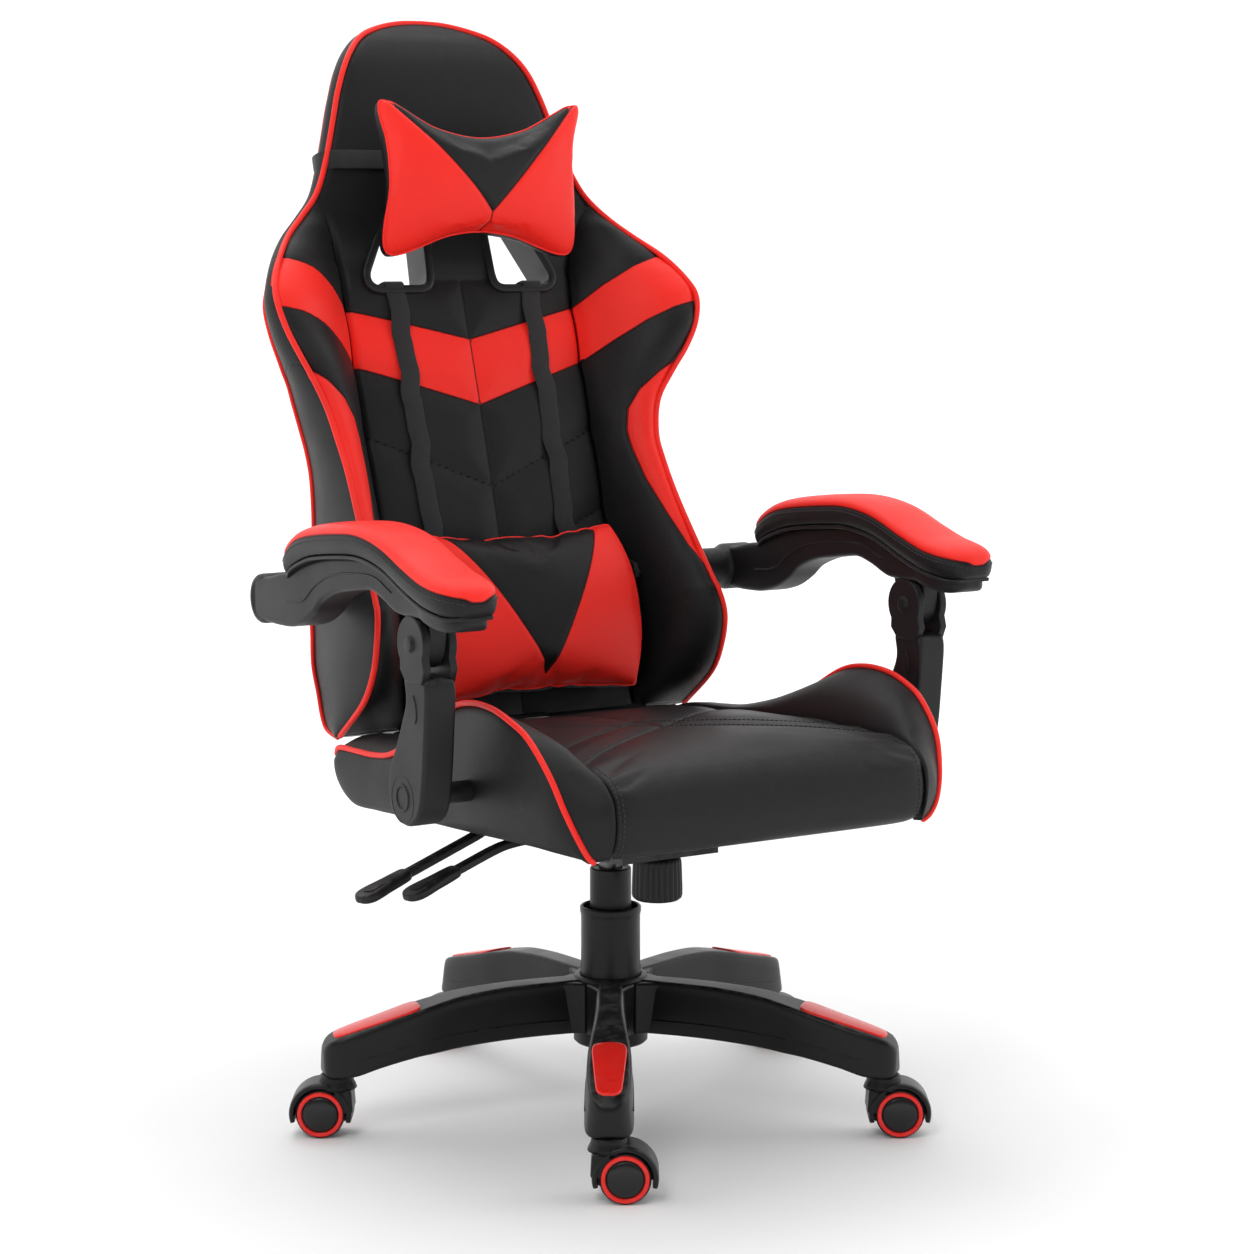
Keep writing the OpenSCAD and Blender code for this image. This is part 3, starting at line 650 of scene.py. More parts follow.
black_leather = leather("black leather", BLACK)
red_leather = leather("red leather", RED, rough=0.4)
sewn_leather = leather("sewn leather", BLACK, patches=True)
piping_leather = leather("piping leather", shade(RED, 0.97), rough=0.38, cells=900.0)
thread = strap_fabric("black thread", (0.02, 0.02, 0.021, 1))
webbing = strap_fabric("black webbing", (0.012, 0.012, 0.013, 1))
base_nylon = plastic("base nylon", (0.007, 0.007, 0.0075, 1), rough=0.36, worn=0.25)
arm_plastic = plastic("armrest plastic", (0.0105, 0.0105, 0.0115, 1), rough=0.46, worn=0.3, depth=0.08)
wheel_nylon = plastic("wheel nylon", (0.012, 0.012, 0.013, 1), rough=0.5)
cap_plastic = plastic("wheel cap plastic", (0.011, 0.011, 0.012, 1), rough=0.25, coat=0.2, depth=0.02)
red_plastic = plastic("red trim plastic", (0.88, 0.018, 0.012, 1), rough=0.28, worn=0.1, dusty=0.05,
                      depth=0.02, coat=0.35)
control_plastic = plastic("control plastic", (0.011, 0.011, 0.012, 1), rough=0.38)
black_steel = metal("black coated steel", (0.008, 0.008, 0.0085, 1), 0.4, painted=True)
bright_steel = metal("bright steel", (0.5, 0.5, 0.51, 1), 0.28)
dark_steel = metal("burnished steel", (0.035, 0.035, 0.037, 1), 0.34)
SLOT_MATERIALS = {
    "base_nylon": base_nylon, "wheel_nylon": wheel_nylon, "red_trim": red_plastic,
    "black_steel": black_steel, "bright_steel": bright_steel, "control_plastic": control_plastic,
    "webbing": webbing, "black_leather": black_leather, "red_leather": red_leather,
    "arm_plastic": arm_plastic,
}


def finish_cad_nodes():
    """Every carried-over node gets the material of its slot."""
    for part in frame["record"]["subparts"]:
        obj = frame["nodes"][part["node"]]
        for material_slot in obj.material_slots:
            material_slot.material = SLOT_MATERIALS[part["material_slot"]]


# ------------------------------------------------------------------ backrest cover

LEAN = math.radians(17)
# Forward and height of the point where the back panel's foot starts
BACK_FOOT = (218, 480)
COVER_THICK = 3.0


def on_back(points):
    """(across, height up the backrest, depth in front of its panel) as points of the chair."""
    x, s, d = np.moveaxis(np.asarray(points, float), -1, 0)
    return np.stack([x, BACK_FOOT[0] + s * math.sin(LEAN) - d * math.cos(LEAN),
                     BACK_FOOT[1] + s * math.cos(LEAN) + d * math.sin(LEAN)], -1)


# The piped front rim, from the foot up to the middle of the top: (across, height, depth)
RIM = flow([(248, -28, -17), (248, 0, 59), (247, 30, 95), (246, 65, 115), (241, 97, 117), (238, 118, 110),
            (228, 221, 77), (225, 284, 60), (227, 321, 52), (237, 365, 54), (257, 400, 68),
            (276, 428, 80), (292, 459, 87), (299, 492, 87), (293, 519, 77), (275, 553, 60),
            (248, 588, 36), (222, 615, 25), (197, 643, 21), (182, 670, 20), (169, 705, 21),
            (157, 743, 23), (146, 779, 25), (132, 813, 26), (115, 840, 21), (93, 862, 12), (64, 876, 4),
            (32, 884, 0), (0, 886, -1)], 4.4)
RIM[-1, 0] = 0
rear_rim_depth = through([(-30, -30), (-15, -59), (3, -69), (38, -74), (124, -84), (244, -62), (325, -48),
                          (370, -36), (414, 5), (447, 28), (480, 39), (518, 40), (546, 28), (579, 10),
                          (616, 0), (670, -17), (747, -16), (795, -14), (839, -24), (886, -30)])
seam_place = through([(-28, 165), (250, 165), (520, 165), (565, 169), (600, 177), (625, 188), (650, 210)])
crown = through([(-28, 0), (40, 4), (300, 9), (540, 6), (610, 8), (650, 13), (700, 23), (760, 30),
                 (815, 28), (850, 19), (872, 8), (886, -1)])
rear_middle = through([(-28, -40), (0, -60), (120, -66), (240, -61), (325, -54), (640, -50), (800, -48),
                       (862, -41), (886, -30)])

# Patches and seams of the front, as (distance from the middle, height)
RED_BAND = [(-20, 381), (0, 375), (165, 430), (197, 449), (232, 467), (265, 479), (300, 487), (325, 492),
            (325, 572), (270, 556), (230, 543), (195, 525), (165, 504), (0, 462), (-20, 467)]
RED_STRIP = [(310, 433), (282, 424), (262, 411), (238, 398), (212, 378), (197, 355), (192, 327),
             (193, 300), (198, 258), (209, 208), (222, 160), (238, 122), (330, 96), (330, 433)]
CHEVRONS = [[(0, 462), (165, 504)], [(0, 375), (165, 430)], [(0, 268), (165, 340)],
            [(0, 164), (165, 236)], [(0, 62), (165, 134)]]
PANEL_HALF = 165
MIDDLE_SEAM = [(0, 540), (0, -28)]
NECK_SEAM = [(0, 540), (48, 540)]
FRONT_SEAMS = CHEVRONS + [MIDDLE_SEAM, NECK_SEAM, RED_BAND[2:8], RED_BAND[8:13], RED_STRIP[:11]]
REAR_SEAMS = [[(0, 500), (120, 512), (300, 470)], [(92, 500), (88, 250), (96, -20)]]

CENTRE_STEPS, WING_STEPS, SIDE_STEPS, REAR_STEPS = 46, 34, 14, 34
FRONT, WING, SIDE, REAR = range(4)


def front_section():
    """Half of the front face: rows up the rim, columns from the middle out to the piping."""
    x_rim, height, d_rim = RIM.T
    seam = np.minimum(seam_place(height), x_rim - 2 * ease(886, 860, height))
    seam = np.maximum(seam, 0)
    merging = ease(560, 652, height)
    seam_depth = -2 + (d_rim + 1) * merging
    share = 1 - (1 - np.linspace(0, 1, CENTRE_STEPS + 1)) ** 1.3
    centre_x = seam[:, None] * share
    fall = (1 - share ** 2) ** (0.62 - 0.1 * merging[:, None])
    centre_d = seam_depth[:, None] + (crown(height) - seam_depth)[:, None] * fall
    t = np.linspace(0, 1, WING_STEPS + 1)[1:]
    share = 0.55 * t + 0.45 * (1 - np.cos(math.pi * t)) / 2
    wing_x = seam[:, None] + (x_rim - seam)[:, None] * share
    swell = 9 * ease(20, 60, x_rim - seam)[:, None] * np.sin(math.pi * share)
    wing_d = seam_depth[:, None] + (d_rim - seam_depth)[:, None] * np.sin(share * math.pi / 2) + swell
    x = np.hstack([centre_x, wing_x])
    d = np.hstack([centre_d, wing_d])
    s = np.repeat(height[:, None], x.shape[1], 1)
    off_seam = np.abs(x - seam[:, None])
    d -= 6 * np.exp(-(off_seam / 5) ** 2) * (1 - merging[:, None])
    near = nearest_line(x, s, FRONT_SEAMS)
    d += 3.2 * (1 - np.exp(-(near / 17) ** 2)) - 1.6 * np.exp(-(near / 2.6) ** 2)
    to_rim = np.hypot(x - x_rim[:, None], 0.7 * (d - d_rim[:, None]))
    d -= 3 * np.exp(-(to_rim / 6) ** 2)
    return x, s, d


def outward():
    """The rim's outward direction, as (across, height)."""
    along = np.gradient(RIM[:, :2], axis=0)
    along /= np.linalg.norm(along, axis=1, keepdims=True)
    return np.stack([along[:, 1], -along[:, 0]], -1)


def rear_rim():
    """The rear piping's line, a little inside the front one."""
    out = outward()
    rear = np.stack([RIM[:, 0] - 5 * out[:, 0], RIM[:, 1] - 5 * out[:, 1], rear_rim_depth(RIM[:, 1])], -1)
    rear[-1, 0] = 0
    return rear


def side_section():
    """The boxing between the front and the rear piping."""
    out = outward()
    rear = rear_rim()
    v = np.linspace(0, 1, SIDE_STEPS + 1)[1:]
    swell = 8 * np.sin(math.pi * v) ** 0.8
    parts = []
    for k in range(3):
        line = RIM[:, k, None] * (1 - v) + rear[:, k, None] * v
        parts.append(line + (out[:, k, None] * swell if k < 2 else 0))
    parts[0][-1] = 0
    return parts


def rear_section():
    """Half of the rear face, from its piping to the middle."""
    rear = rear_rim()
    w = np.linspace(1, 0, REAR_STEPS + 1)[1:]
    x = rear[:, 0, None] * w
    s = RIM[:, 1, None] + (rear[:, 1] - RIM[:, 1])[:, None] * w
    middle = rear_middle(RIM[:, 1])[:, None]
    base = np.minimum(150, 0.5 * rear[:, 0])[:, None]
    bend = np.clip((x - base) / np.maximum(rear[:, 0, None] - base, 1e-6), 0, 1) ** 1.7
    d = middle + (rear[:, 2, None] - middle) * bend - 5 * (1 - w ** 2)
    near = nearest_line(x, s, REAR_SEAMS)
    d += 2.4 * np.exp(-(near / 3.5) ** 2) - 2 * (1 - np.exp(-(near / 18) ** 2))
    return x, s, d


def back_rows():
    """The whole cover as closed rows, from the middle of the front round to the middle of the rear."""
    half = [np.hstack(parts) for parts in zip(front_section(), side_section(), rear_section())]
    right = np.stack(half, -1)
    left = right[:, -2:0:-1] * (-1, 1, 1)
    return right.shape[1], np.concatenate([right, left], 1)


def cover_mesh():
    """One closed cover, its faces marked by the panel they belong to."""
    columns, rows = back_rows()
    width = rows.shape[1]
    panel = np.full(width, REAR)
    limits = np.cumsum([CENTRE_STEPS, WING_STEPS, SIDE_STEPS])
    for j in range(columns - 1):
        panel[[j, width - 1 - j]] = np.searchsorted(limits, j, side="right")
    cover = Build().skin(rows, ends=False)
    cover.inks = [int(panel[n % width]) for n in range(len(cover.inks))]
    for j in range(columns - 1):
        cover.faces.append((j, j + 1, (width - 1 - j) % width, (width - j) % width))
        cover.inks.append(REAR)
    return cover.mesh("cover", [black_leather] * 4)


# Corners of the right-hand belt window: (across, height)
WINDOW = [(54, 534), (125, 534), (131, 545), (82, 641), (73, 648), (55, 648), (46, 640), (50, 545)]
TRIM_W = 12
CUT_FLARE = 0.08
WINDOW_ROUNDED = rounded(WINDOW, 9, 4)
WINDOW_LINE = even(np.vstack([WINDOW_ROUNDED, WINDOW_ROUNDED[:1]]), 2.5)[:-1]


def window_ring(depth):
    """The edge of a window's cut, which opens out towards the rear."""
    return inset(WINDOW_LINE, -TRIM_W * 0.55 - CUT_FLARE * (20 - depth))


def cut_windows(mesh):
    """Cuts both belt windows through the cover."""
    body = bpy.data.objects.new("cover", mesh)
    cutter = Build()
    for sign in (1, -1):
        cutter.skin([np.column_stack([window_ring(depth) * (sign, 1), np.full(len(WINDOW_LINE), depth)])
                     for depth in (-120, 90)])
    knife = bpy.data.objects.new("knife", cutter.mesh("knife", []))
    for obj in (body, knife):
        bpy.context.scene.collection.objects.link(obj)
    cut = body.modifiers.new("windows", "BOOLEAN")
    cut.operation = "DIFFERENCE"
    cut.solver = "EXACT"
    cut.object = knife
    bake_modifiers(body)
    result = body.data
    for obj in (body, knife):
        bpy.data.objects.remove(obj)
    return result


def take(mesh, name, wanted):
    """A copy of a mesh with only the faces for which wanted(kind, middle) holds."""
    part = bmesh.new()
    part.from_mesh(mesh)
    unwanted = [f for f in part.faces if not wanted(f.material_index, f.calc_center_median() / MM)]
    bmesh.ops.delete(part, geom=unwanted, context="FACES")
    for face in part.faces:
        face.material_index = 0
    result = bpy.data.meshes.new(name)
    part.to_mesh(result)
    part.free()
    return result


def window_wall(middle):
    """Whether a face lies on the wall of a window's cut."""
    if not (20 < abs(middle.x) < 160 and 500 < middle.y < 680):
        return False
    return line_distance(abs(middle.x), middle.y, window_ring(middle.z)) < 0.2


def cover_piece(mesh, name, material, replaced, wanted):
    """One panel of the cover, with its patches marked and the thickness of leather on foam."""
    part = take(mesh, name, wanted)
    flat = coordinates(part)
    x, s = np.abs(flat[:, 0]), flat[:, 1]
    x_rim, d_rim = (np.interp(s, RIM[:, 1], RIM[:, k]) for k in (0, 2))
    share = np.clip((x - seam_place(s)) / np.maximum(x_rim - seam_place(s), 1), 0, 1)
    front = flat[:, 2] > -7 + (d_rim + 2) * share
    red = np.maximum(inside_distance(x, s, RED_BAND), inside_distance(x, s, RED_STRIP))
    if material is sewn_leather:
        mark(part, "red", np.where(front | (x < PANEL_HALF), red, NO_PATCH))
        mark(part, "seam", nearest_line(x, s, FRONT_SEAMS + [[(PANEL_HALF, -28), (PANEL_HALF, 520)]]))
    set_coordinates(part, on_back(flat))
    part.materials.clear()
    part.materials.append(material)
    part.shade_smooth()
    obj = place(part, name, "backrest", (replaced,))
    shell = obj.modifiers.new("leather and foam", "SOLIDIFY")
    shell.thickness = COVER_THICK * MM
    shell.offset = -1
    bake_modifiers(obj)
    return obj


def backrest_cover():
    """The panel, the two bolsters and the rear of the back, cut from one closed cover."""
    mesh = cut_windows(cover_mesh())
    front = cover_piece(mesh, "back_panel_cover", sewn_leather, "back_cushion",
                        lambda kind, at: kind == FRONT and not window_wall(at))
    for side, sign in (("left", 1), ("right", -1)):
        cover_piece(mesh, f"back_bolster_cover_{side}", sewn_leather, f"back_bolster_{side}",
                    lambda kind, at, sign=sign: kind in (WING, SIDE) and at.x * sign > 0)
    rear = cover_piece(mesh, "back_rear_cover", black_leather, "back_shell",
                       lambda kind, at: kind == REAR and not window_wall(at))
    return front, rear


def piping(name, path, body, radius):
    """Round welt cord in its leather."""
    cord = Build()
    rope(cord, path, radius, 12)
    cord.piece(name, body, "red_leather", [piping_leather])


def backrest_piping():
    """Cords round the front and the rear rim, a little proud of them."""
    for face, rim, depth, radius in (("front", RIM.copy(), 1.0, 3.6), ("rear", rear_rim(), -1.0, 2.8)):
        rim[:, :2] += 1.5 * outward()
        rim[:, 2] += depth
        rim[-1, 0] = 0
        whole = np.vstack([rim * (-1, 1, 1), rim[-2::-1]])
        piping("back_piping_" + face, on_back(whole), "backrest", radius)


def window_liners():
    """Moulded liner of each belt window: a flange on the front, walls, and a flange on the rear."""
    liners = Build()
    front, rear, flare = 12.0, -58.0, 7.0
    section = [(0.6, front - 2), (0, front - 4), (flare, rear + 4), (flare + 0.6, rear + 2),
               (flare + 3, rear), (flare + 10, rear), (flare + 12, rear + 2), (flare + 12, rear + 9),
               (flare + 3, rear + 10), (4, front - 11), (TRIM_W, front - 10), (TRIM_W - 0.4, front - 2.2),
               (TRIM_W - 2.5, front), (3, front)]
    for sign in (1, -1):
        rows = [np.column_stack([inset(WINDOW_LINE, -offset) * (sign, 1), np.full(len(WINDOW_LINE), depth)])
                for offset, depth in section]
        liners.skin(on_back(rows), ring=True)
    crisp(liners.piece("belt_window_liners", "backrest", "control_plastic", [control_plastic],
                       ("window_trims",)))


# ------------------------------------------------------------------ pillows and straps

ACROSS_STEPS, UP_STEPS = 44, 30


def pillow_blank(edges, middle, thickness, gusset):
    """A stuffed blank: an outline of four curved edges, thick in the middle, with a narrow side strip.

    edges gives (across, height) for each (a, b) in -1..1; middle gives the depth of its mid-plane."""
    a = np.linspace(-1, 1, ACROSS_STEPS + 1)
    b = np.linspace(-1, 1, UP_STEPS + 1)
    a, b = np.meshgrid(np.sin(a * math.pi / 2) * 0.5 + a * 0.5, np.sin(b * math.pi / 2) * 0.5 + b * 0.5)
    x, s = edges(a, b)
    fullness = (np.maximum(0, 1 - a ** 2) * np.maximum(0, 1 - b ** 2)) ** 0.42
    depth = middle(x, s)
    sheets = [np.stack([x, s, depth + sign * (gusset + thickness * fullness)], -1) for sign in (1, -1)]
    build = Build()
    build.skin(sheets[0], around=False, ends=False)
    build.skin(sheets[1][:, ::-1], around=False, ends=False)
    build.skin([np.vstack([sheet[0], sheet[1:, -1], sheet[-1, -2::-1], sheet[-2:0:-1, 0]])
                for sheet in sheets], ends=False)
    build.points = on_back(build.points).tolist()
    return build


def concave(a, b, half_top, half_mid, half_low, top, top_dip, low, low_rise):
    """Across and height of a pillow whose four edges bow in between its corners."""
    a, b = a * (1 - 0.09 * b ** 8), b * (1 - 0.09 * a ** 8)
    up = (b + 1) / 2
    straight = half_low + (half_top - half_low) * up
    width = straight - (straight - half_mid) * (1 - b ** 2) * 0.9
    high = top - top_dip * (1 - np.abs(a) ** 1.7)
    bottom = low + low_rise * (1 - np.abs(a) ** 1.7)
    return a * width, bottom + (high - bottom) * up


def to_back(points):
    """Points of the chair as (across, height up the backrest, depth in front of its panel)."""
    x, y, z = np.moveaxis(np.asarray(points, float), -1, 0)
    dy, dz = y - BACK_FOOT[0], z - BACK_FOOT[1]
    return np.stack([x, dy * math.sin(LEAN) + dz * math.cos(LEAN),
                     dz * math.sin(LEAN) - dy * math.cos(LEAN)], -1)


def v_patch(x, s, point, half_top, top):
    """Distance outside a V-shaped black patch, positive in the red on either side of it."""
    return -inside_distance(np.abs(x), s, [(-40, point), (0, point), (half_top, top), (half_top, top + 60),
                                           (-40, top + 60)])


def sew(obj, red, seams):
    """Marks a stuffed piece's patches and sinks its seams into the surface."""
    points = coordinates(obj.data)
    flat = to_back(points)
    normals = np.array([v.normal for v in obj.data.vertices])
    near = seams(flat)
    sink = 1.5 * np.exp(-(near / 2.8) ** 2)
    set_coordinates(obj.data, points - normals * sink[:, None])
    mark(obj.data, "red", red(flat))
    mark(obj.data, "seam", near)


def edge_ring(edges, count=30):
    """The outline of a pillow, walked once round."""
    t = np.linspace(-1, 1, count)
    one = np.ones(count)
    sides = [edges(t, -one), edges(one, t), edges(-t, one), edges(-one, -t)]
    return np.vstack([np.stack(side, -1)[:-1] for side in sides])


def edge_welt(obj, name, ring, mid_depth, gusset):
    """The raised seam where a pillow's front panel meets its side strip."""
    path = on_back(np.column_stack([ring, mid_depth(ring[:, 1]) + gusset]))
    path, _ = lay(obj, even(np.vstack([path, path[:1]]), 4)[:-1], 0.1)
    welt = Build()
    rope(welt, path, 1.5, 8, closed=True)
    welt.piece(name, "backrest", "red_leather", [red_leather])


def pillow(name, node, blank, voxel, cap, red, seams):
    """A stuffed and sewn pillow on the backrest."""
    obj = place(blank.mesh(name, [sewn_leather]), name, "backrest", (node,))
    stuff(obj, voxel, cap)
    sew(obj, red, seams)
    return obj


def head_pillow():
    """Pillow with horned corners and a V of black between its red sides."""
    def edges(a, b):
        return concave(a, b, 162, 135, 145, 755, 52, 541, 36)

    mid_depth = through([(540, 56), (560, 60), (620, 84), (700, 106), (750, 122)])

    def middle(x, s):
        return mid_depth(s) - 4 * (1 - np.minimum(1, np.abs(x) / 140) ** 2)

    def red(flat):
        patch = v_patch(flat[:, 0], flat[:, 1], 597, 124, 727)
        return np.minimum(patch, flat[:, 2] - mid_depth(flat[:, 1]) - 3)

    def seams(flat):
        near = nearest_line(np.abs(flat[:, 0]), flat[:, 1], [[(0, 597), (124, 727), (160, 762)],
                                                            [(0, 570), (0, 597)]])
        return np.where(flat[:, 2] > mid_depth(flat[:, 1]), near, NO_SEAM)

    obj = pillow("head_pillow_cover", "head_pillow", pillow_blank(edges, middle, 34, 6), 4.6, 9,
                 red, seams)
    edge_welt(obj, "head_pillow_seam", edge_ring(edges), mid_depth, 6)


def lumbar_cushion():
    """Fuller cushion with bulging sides and the same V."""
    def edges(a, b):
        up = (b + 1) / 2
        width = 128 + 30 * np.sin(math.pi * np.clip(0.1 + 0.8 * (1 - up), 0, 1)) ** 0.8
        high = 203 - 4 * (1 - np.abs(a) ** 2)
        low = -8 + 3 * (1 - np.abs(a) ** 2)
        return a * width, low + (high - low) * up

    mid_depth = through([(-20, 36), (40, 40), (100, 42), (160, 40), (205, 34)])

    def middle(x, s):
        return mid_depth(s) + 6 * np.minimum(1, np.abs(x) / 150) ** 2

    def red(flat):
        patch = v_patch(flat[:, 0], flat[:, 1], 14, 106, 196)
        face = (flat[:, 2] - middle(flat[:, 0], flat[:, 1])) - 8
        return np.minimum(patch, np.minimum(face, 150 - np.abs(flat[:, 0])))

    def seams(flat):
        near = line_distance(np.abs(flat[:, 0]), flat[:, 1], [(0, 14), (106, 196), (112, 206)])
        return np.where(flat[:, 2] > mid_depth(flat[:, 1]), near, NO_SEAM)

    obj = pillow("lumbar_cushion_cover", "lumbar_cushion", pillow_blank(edges, middle, 40, 12), 5.2, 10,
                 red, seams)
    edge_welt(obj, "lumbar_cushion_seam", edge_ring(edges), mid_depth, 14)


STRAP_X = 100
STRAP_SECTION = box_section(13, 0.9, 0.81, 2)
HEAD_STRAP_HEIGHT = 693


def lumbar_straps(front, rear):
    """Two straps from behind the cushion, up the panel, through the windows and down the rear."""
    straps = Build()
    for sign in (1, -1):
        up = [(sign * STRAP_X, s, 60) for s in range(120, 521, 10)]
        on_front, _ = lay(front, on_back(np.array(up, float)), 1.6)
        taut = to_back(on_front)
        reach = np.array([taut[max(0, k - 5):k + 6, 2].max() for k in range(len(taut))])
        taut[:, 2] = np.convolve(np.pad(reach, 3, "edge"), np.full(7, 1 / 7), "valid")
        on_front = on_back(taut)
        down = [(sign * STRAP_X, s, -120) for s in range(510, -1, -12)]
        on_rear, _ = lay(rear, on_back(np.array(down, float)), 1.6)
        over = on_back([(sign * STRAP_X, s, d) for s, d in (
            (527, 10), (532, 13.5), (536, 12.5), (538, 4), (538, -25), (538, -54), (536, -62), (530, -64.5),
            (522, -62))])
        path = flow(np.vstack([on_front, over, on_rear]), 6)
        straps.skin(sweep(path, STRAP_SECTION, side=(1, 0, 0)))
    straps.piece("lumbar_strap_webbing", "backrest", "webbing", [webbing], ("lumbar_straps",))


def head_strap():
    """Elastic band round the head of the backrest, held out by the padding's corners."""
    _, rows = back_rows()
    ring = rows[int(np.argmin(np.abs(RIM[:, 1] - HEAD_STRAP_HEIGHT)))]
    flat = flow(even(np.vstack([ring[:, [0, 2]], ring[:1, [0, 2]]]), 9)[:-1], 5, closed=True)[:-1]
    flat = inset(flat, -2.6)
    path = on_back(np.stack([flat[:, 0], np.full(len(flat), HEAD_STRAP_HEIGHT), flat[:, 1]], -1))
    up = on_back([(0, 1, 0)])[0] - on_back([(0, 0, 0)])[0]
    section = box_section(12, 0.9, 0.7, 2)
    strap = Build().skin(sweep(path, section, side=up, closed=True), ring=True)
    strap.piece("head_strap_elastic", "backrest", "webbing", [webbing], ("head_strap",))


# ------------------------------------------------------------------ seat

SEAT_HALF = 206
SEAT_SIDE = [(-330, 389), (-347, 398), (-355, 420), (-356, 442), (-349, 463), (-330, 479), (-290, 487),
             (-200, 486), (-100, 481), (0, 474), (100, 464), (184, 455), (200, 444), (204, 430), (202, 404)]
# Sewn lines on the seat's top, as (across, forward): a pointed yoke with a second line behind it
SEAT_YOKE = [[(0, -118), (190, -262)], [(0, -62), (200, -196)], [(0, -118), (0, 180)],
             [(0, -118), (196, 60)]]
YOKE_THREAD = 4.5


def seat_cushion():
    """Padded centre of the seat, sewn across the top, its bottom flat on the webbing."""
    side = even(rounded(SEAT_SIDE, 8, 3), 7)
    outline = np.vstack([side, [(190, 377), (60, 404), (60, 406), (-300, 404)]])
    outline = even(np.vstack([outline, outline[:1]]), 7)[:-1]
    places = SEAT_HALF - 0.6 - np.array([0, 0.6, 2.4, 6, 12, 22, 40, 70, 110, 150, 180, 206])
    amounts = np.array([9, 6.5, 4.4, 2.6, 1.4, 0.6, 0.2, 0, 0, 0, 0, 0])
    xs = np.concatenate([-places, places[-2::-1]])
    insets = np.concatenate([amounts, amounts[-2::-1]])
    rows = [across(ring[:, 0], ring[:, 1], np.full(len(ring), x))
            for x, ring in ((x, inset(outline, amount)) for x, amount in zip(xs, insets))]
    obj = Build().skin(rows).piece("seat_cushion_cover", "seat", "black_leather", [sewn_leather],
                                   ("seat_cushion",))

    def hold(points):
        under = points[:, 2] < 400 - 0.056 * points[:, 1]
        return under | (np.abs(points[:, 0]) > SEAT_HALF - 5) | (points[:, 1] > 150)

    stuff(obj, 6.5, 9, hold=hold)
    points = coordinates(obj.data)
    normals = np.array([v.normal for v in obj.data.vertices])
    on_top = ease(0.2, 0.7, normals[:, 2])
    near = nearest_line(np.abs(points[:, 0]), points[:, 1], SEAT_YOKE)
    near = np.where(points[:, 2] > 430, near, NO_SEAM)
    sink = on_top * (2.0 * np.exp(-(near / 3.2) ** 2) - 2.6 * (1 - np.exp(-(near / 22) ** 2)))
    limit = SEAT_HALF - 0.6
    moved = points - normals * sink[:, None]
    moved[:, 0] = np.clip(moved[:, 0], -limit, limit)
    set_coordinates(obj.data, moved)
    mark(obj.data, "red", np.full(len(points), NO_PATCH))
    mark(obj.data, "seam", np.where(on_top > 0.2, near, NO_SEAM))
    return obj


# Stations of a side bolster, from its rear end forwards: seam at the cushion, piped edge, lower edge
BOLSTER = np.array([
    [(207, 205, 430), (262, 207, 430), (260, 211, 414)],
    [(207, 193, 446), (265, 193, 440), (263, 202, 394)],
    [(207, 140, 458), (266, 140, 443), (264, 160, 377)],
    [(207, 100, 463), (266, 100, 445), (264, 100, 379)],
    [(207, 54, 467), (266, 54, 453), (264, 54, 382)],
    [(207, 2, 473), (266, 2, 476), (264, 2, 385)],
    [(207, -50, 477), (266, -50, 505), (264, -50, 389)],
    [(207, -102, 480), (266, -102, 531), (264, -102, 392)],
    [(207, -150, 483), (266, -146, 541), (264, -150, 395)],
    [(207, -200, 485), (266, -190, 541), (263, -200, 398)],
    [(207, -245, 487), (265, -228, 533), (261, -240, 400)],
    [(207, -285, 485), (262, -264, 518), (258, -270, 401)],
    [(207, -312, 482), (257, -300, 484), (253, -293, 400)],
    [(207, -333, 473), (248, -320, 444), (245, -310, 398)],
    [(207, -350, 453), (237, -330, 414), (235, -320, 395)],
    [(207, -352, 420), (227, -331, 397), (227, -324, 392)],
    [(208, -342, 394), (219, -329, 390), (221, -326, 389)],
], float)


def bolster_curves():
    """The three edges of a bolster as smooth lines of equal length."""
    fine = flow(BOLSTER.reshape(len(BOLSTER), 9), 7)
    return fine[:, 0:3], fine[:, 3:6], fine[:, 6:9]


def seat_bolster(name, sign):
    """Side bolster: a swelling top from the cushion's seam to the piped edge, and a boxing below it."""
    seam, piped, lower = bolster_curves()
    rows = []
    for a, b, c in zip(seam, piped, lower):
        top = np.linspace(0, 1, 15)[:, None]
        run = b - a
        away = np.array([-run[2], 0, run[0]]) / np.linalg.norm(run)
        swell = min(11, 0.16 * np.linalg.norm(run))
        top = a + run * top + away * swell * np.sin(math.pi * top ** 0.85)
        t = np.linspace(0, 1, 13)[1:, None]
        side = b + (c - b) * t + np.array([5.5, 0, 0]) * np.sin(math.pi * t) ** 0.8
        t = np.linspace(0, 1, 6)[1:, None]
        inner = np.array([208, c[1], c[2] + 2])
        bottom = c + (inner - c) * t
        t = np.linspace(0, 1, 8)[1:-1, None]
        rise = inner + (a - inner) * t
        rows.append(np.vstack([top, side, bottom, rise]))
    rows = np.array(rows)
    rows[..., 0] = np.maximum(rows[..., 0], SEAT_HALF + 0.6) * sign
    obj = Build().skin(rows).piece(f"seat_bolster_cover_{name}", "seat", "black_leather",
                                   [black_leather], (f"seat_bolster_{name}",))
    piping(f"seat_piping_{name}", even((piped + (1.2, 0, 1.0)) * (sign, 1, 1), 4), "seat", 3.4)


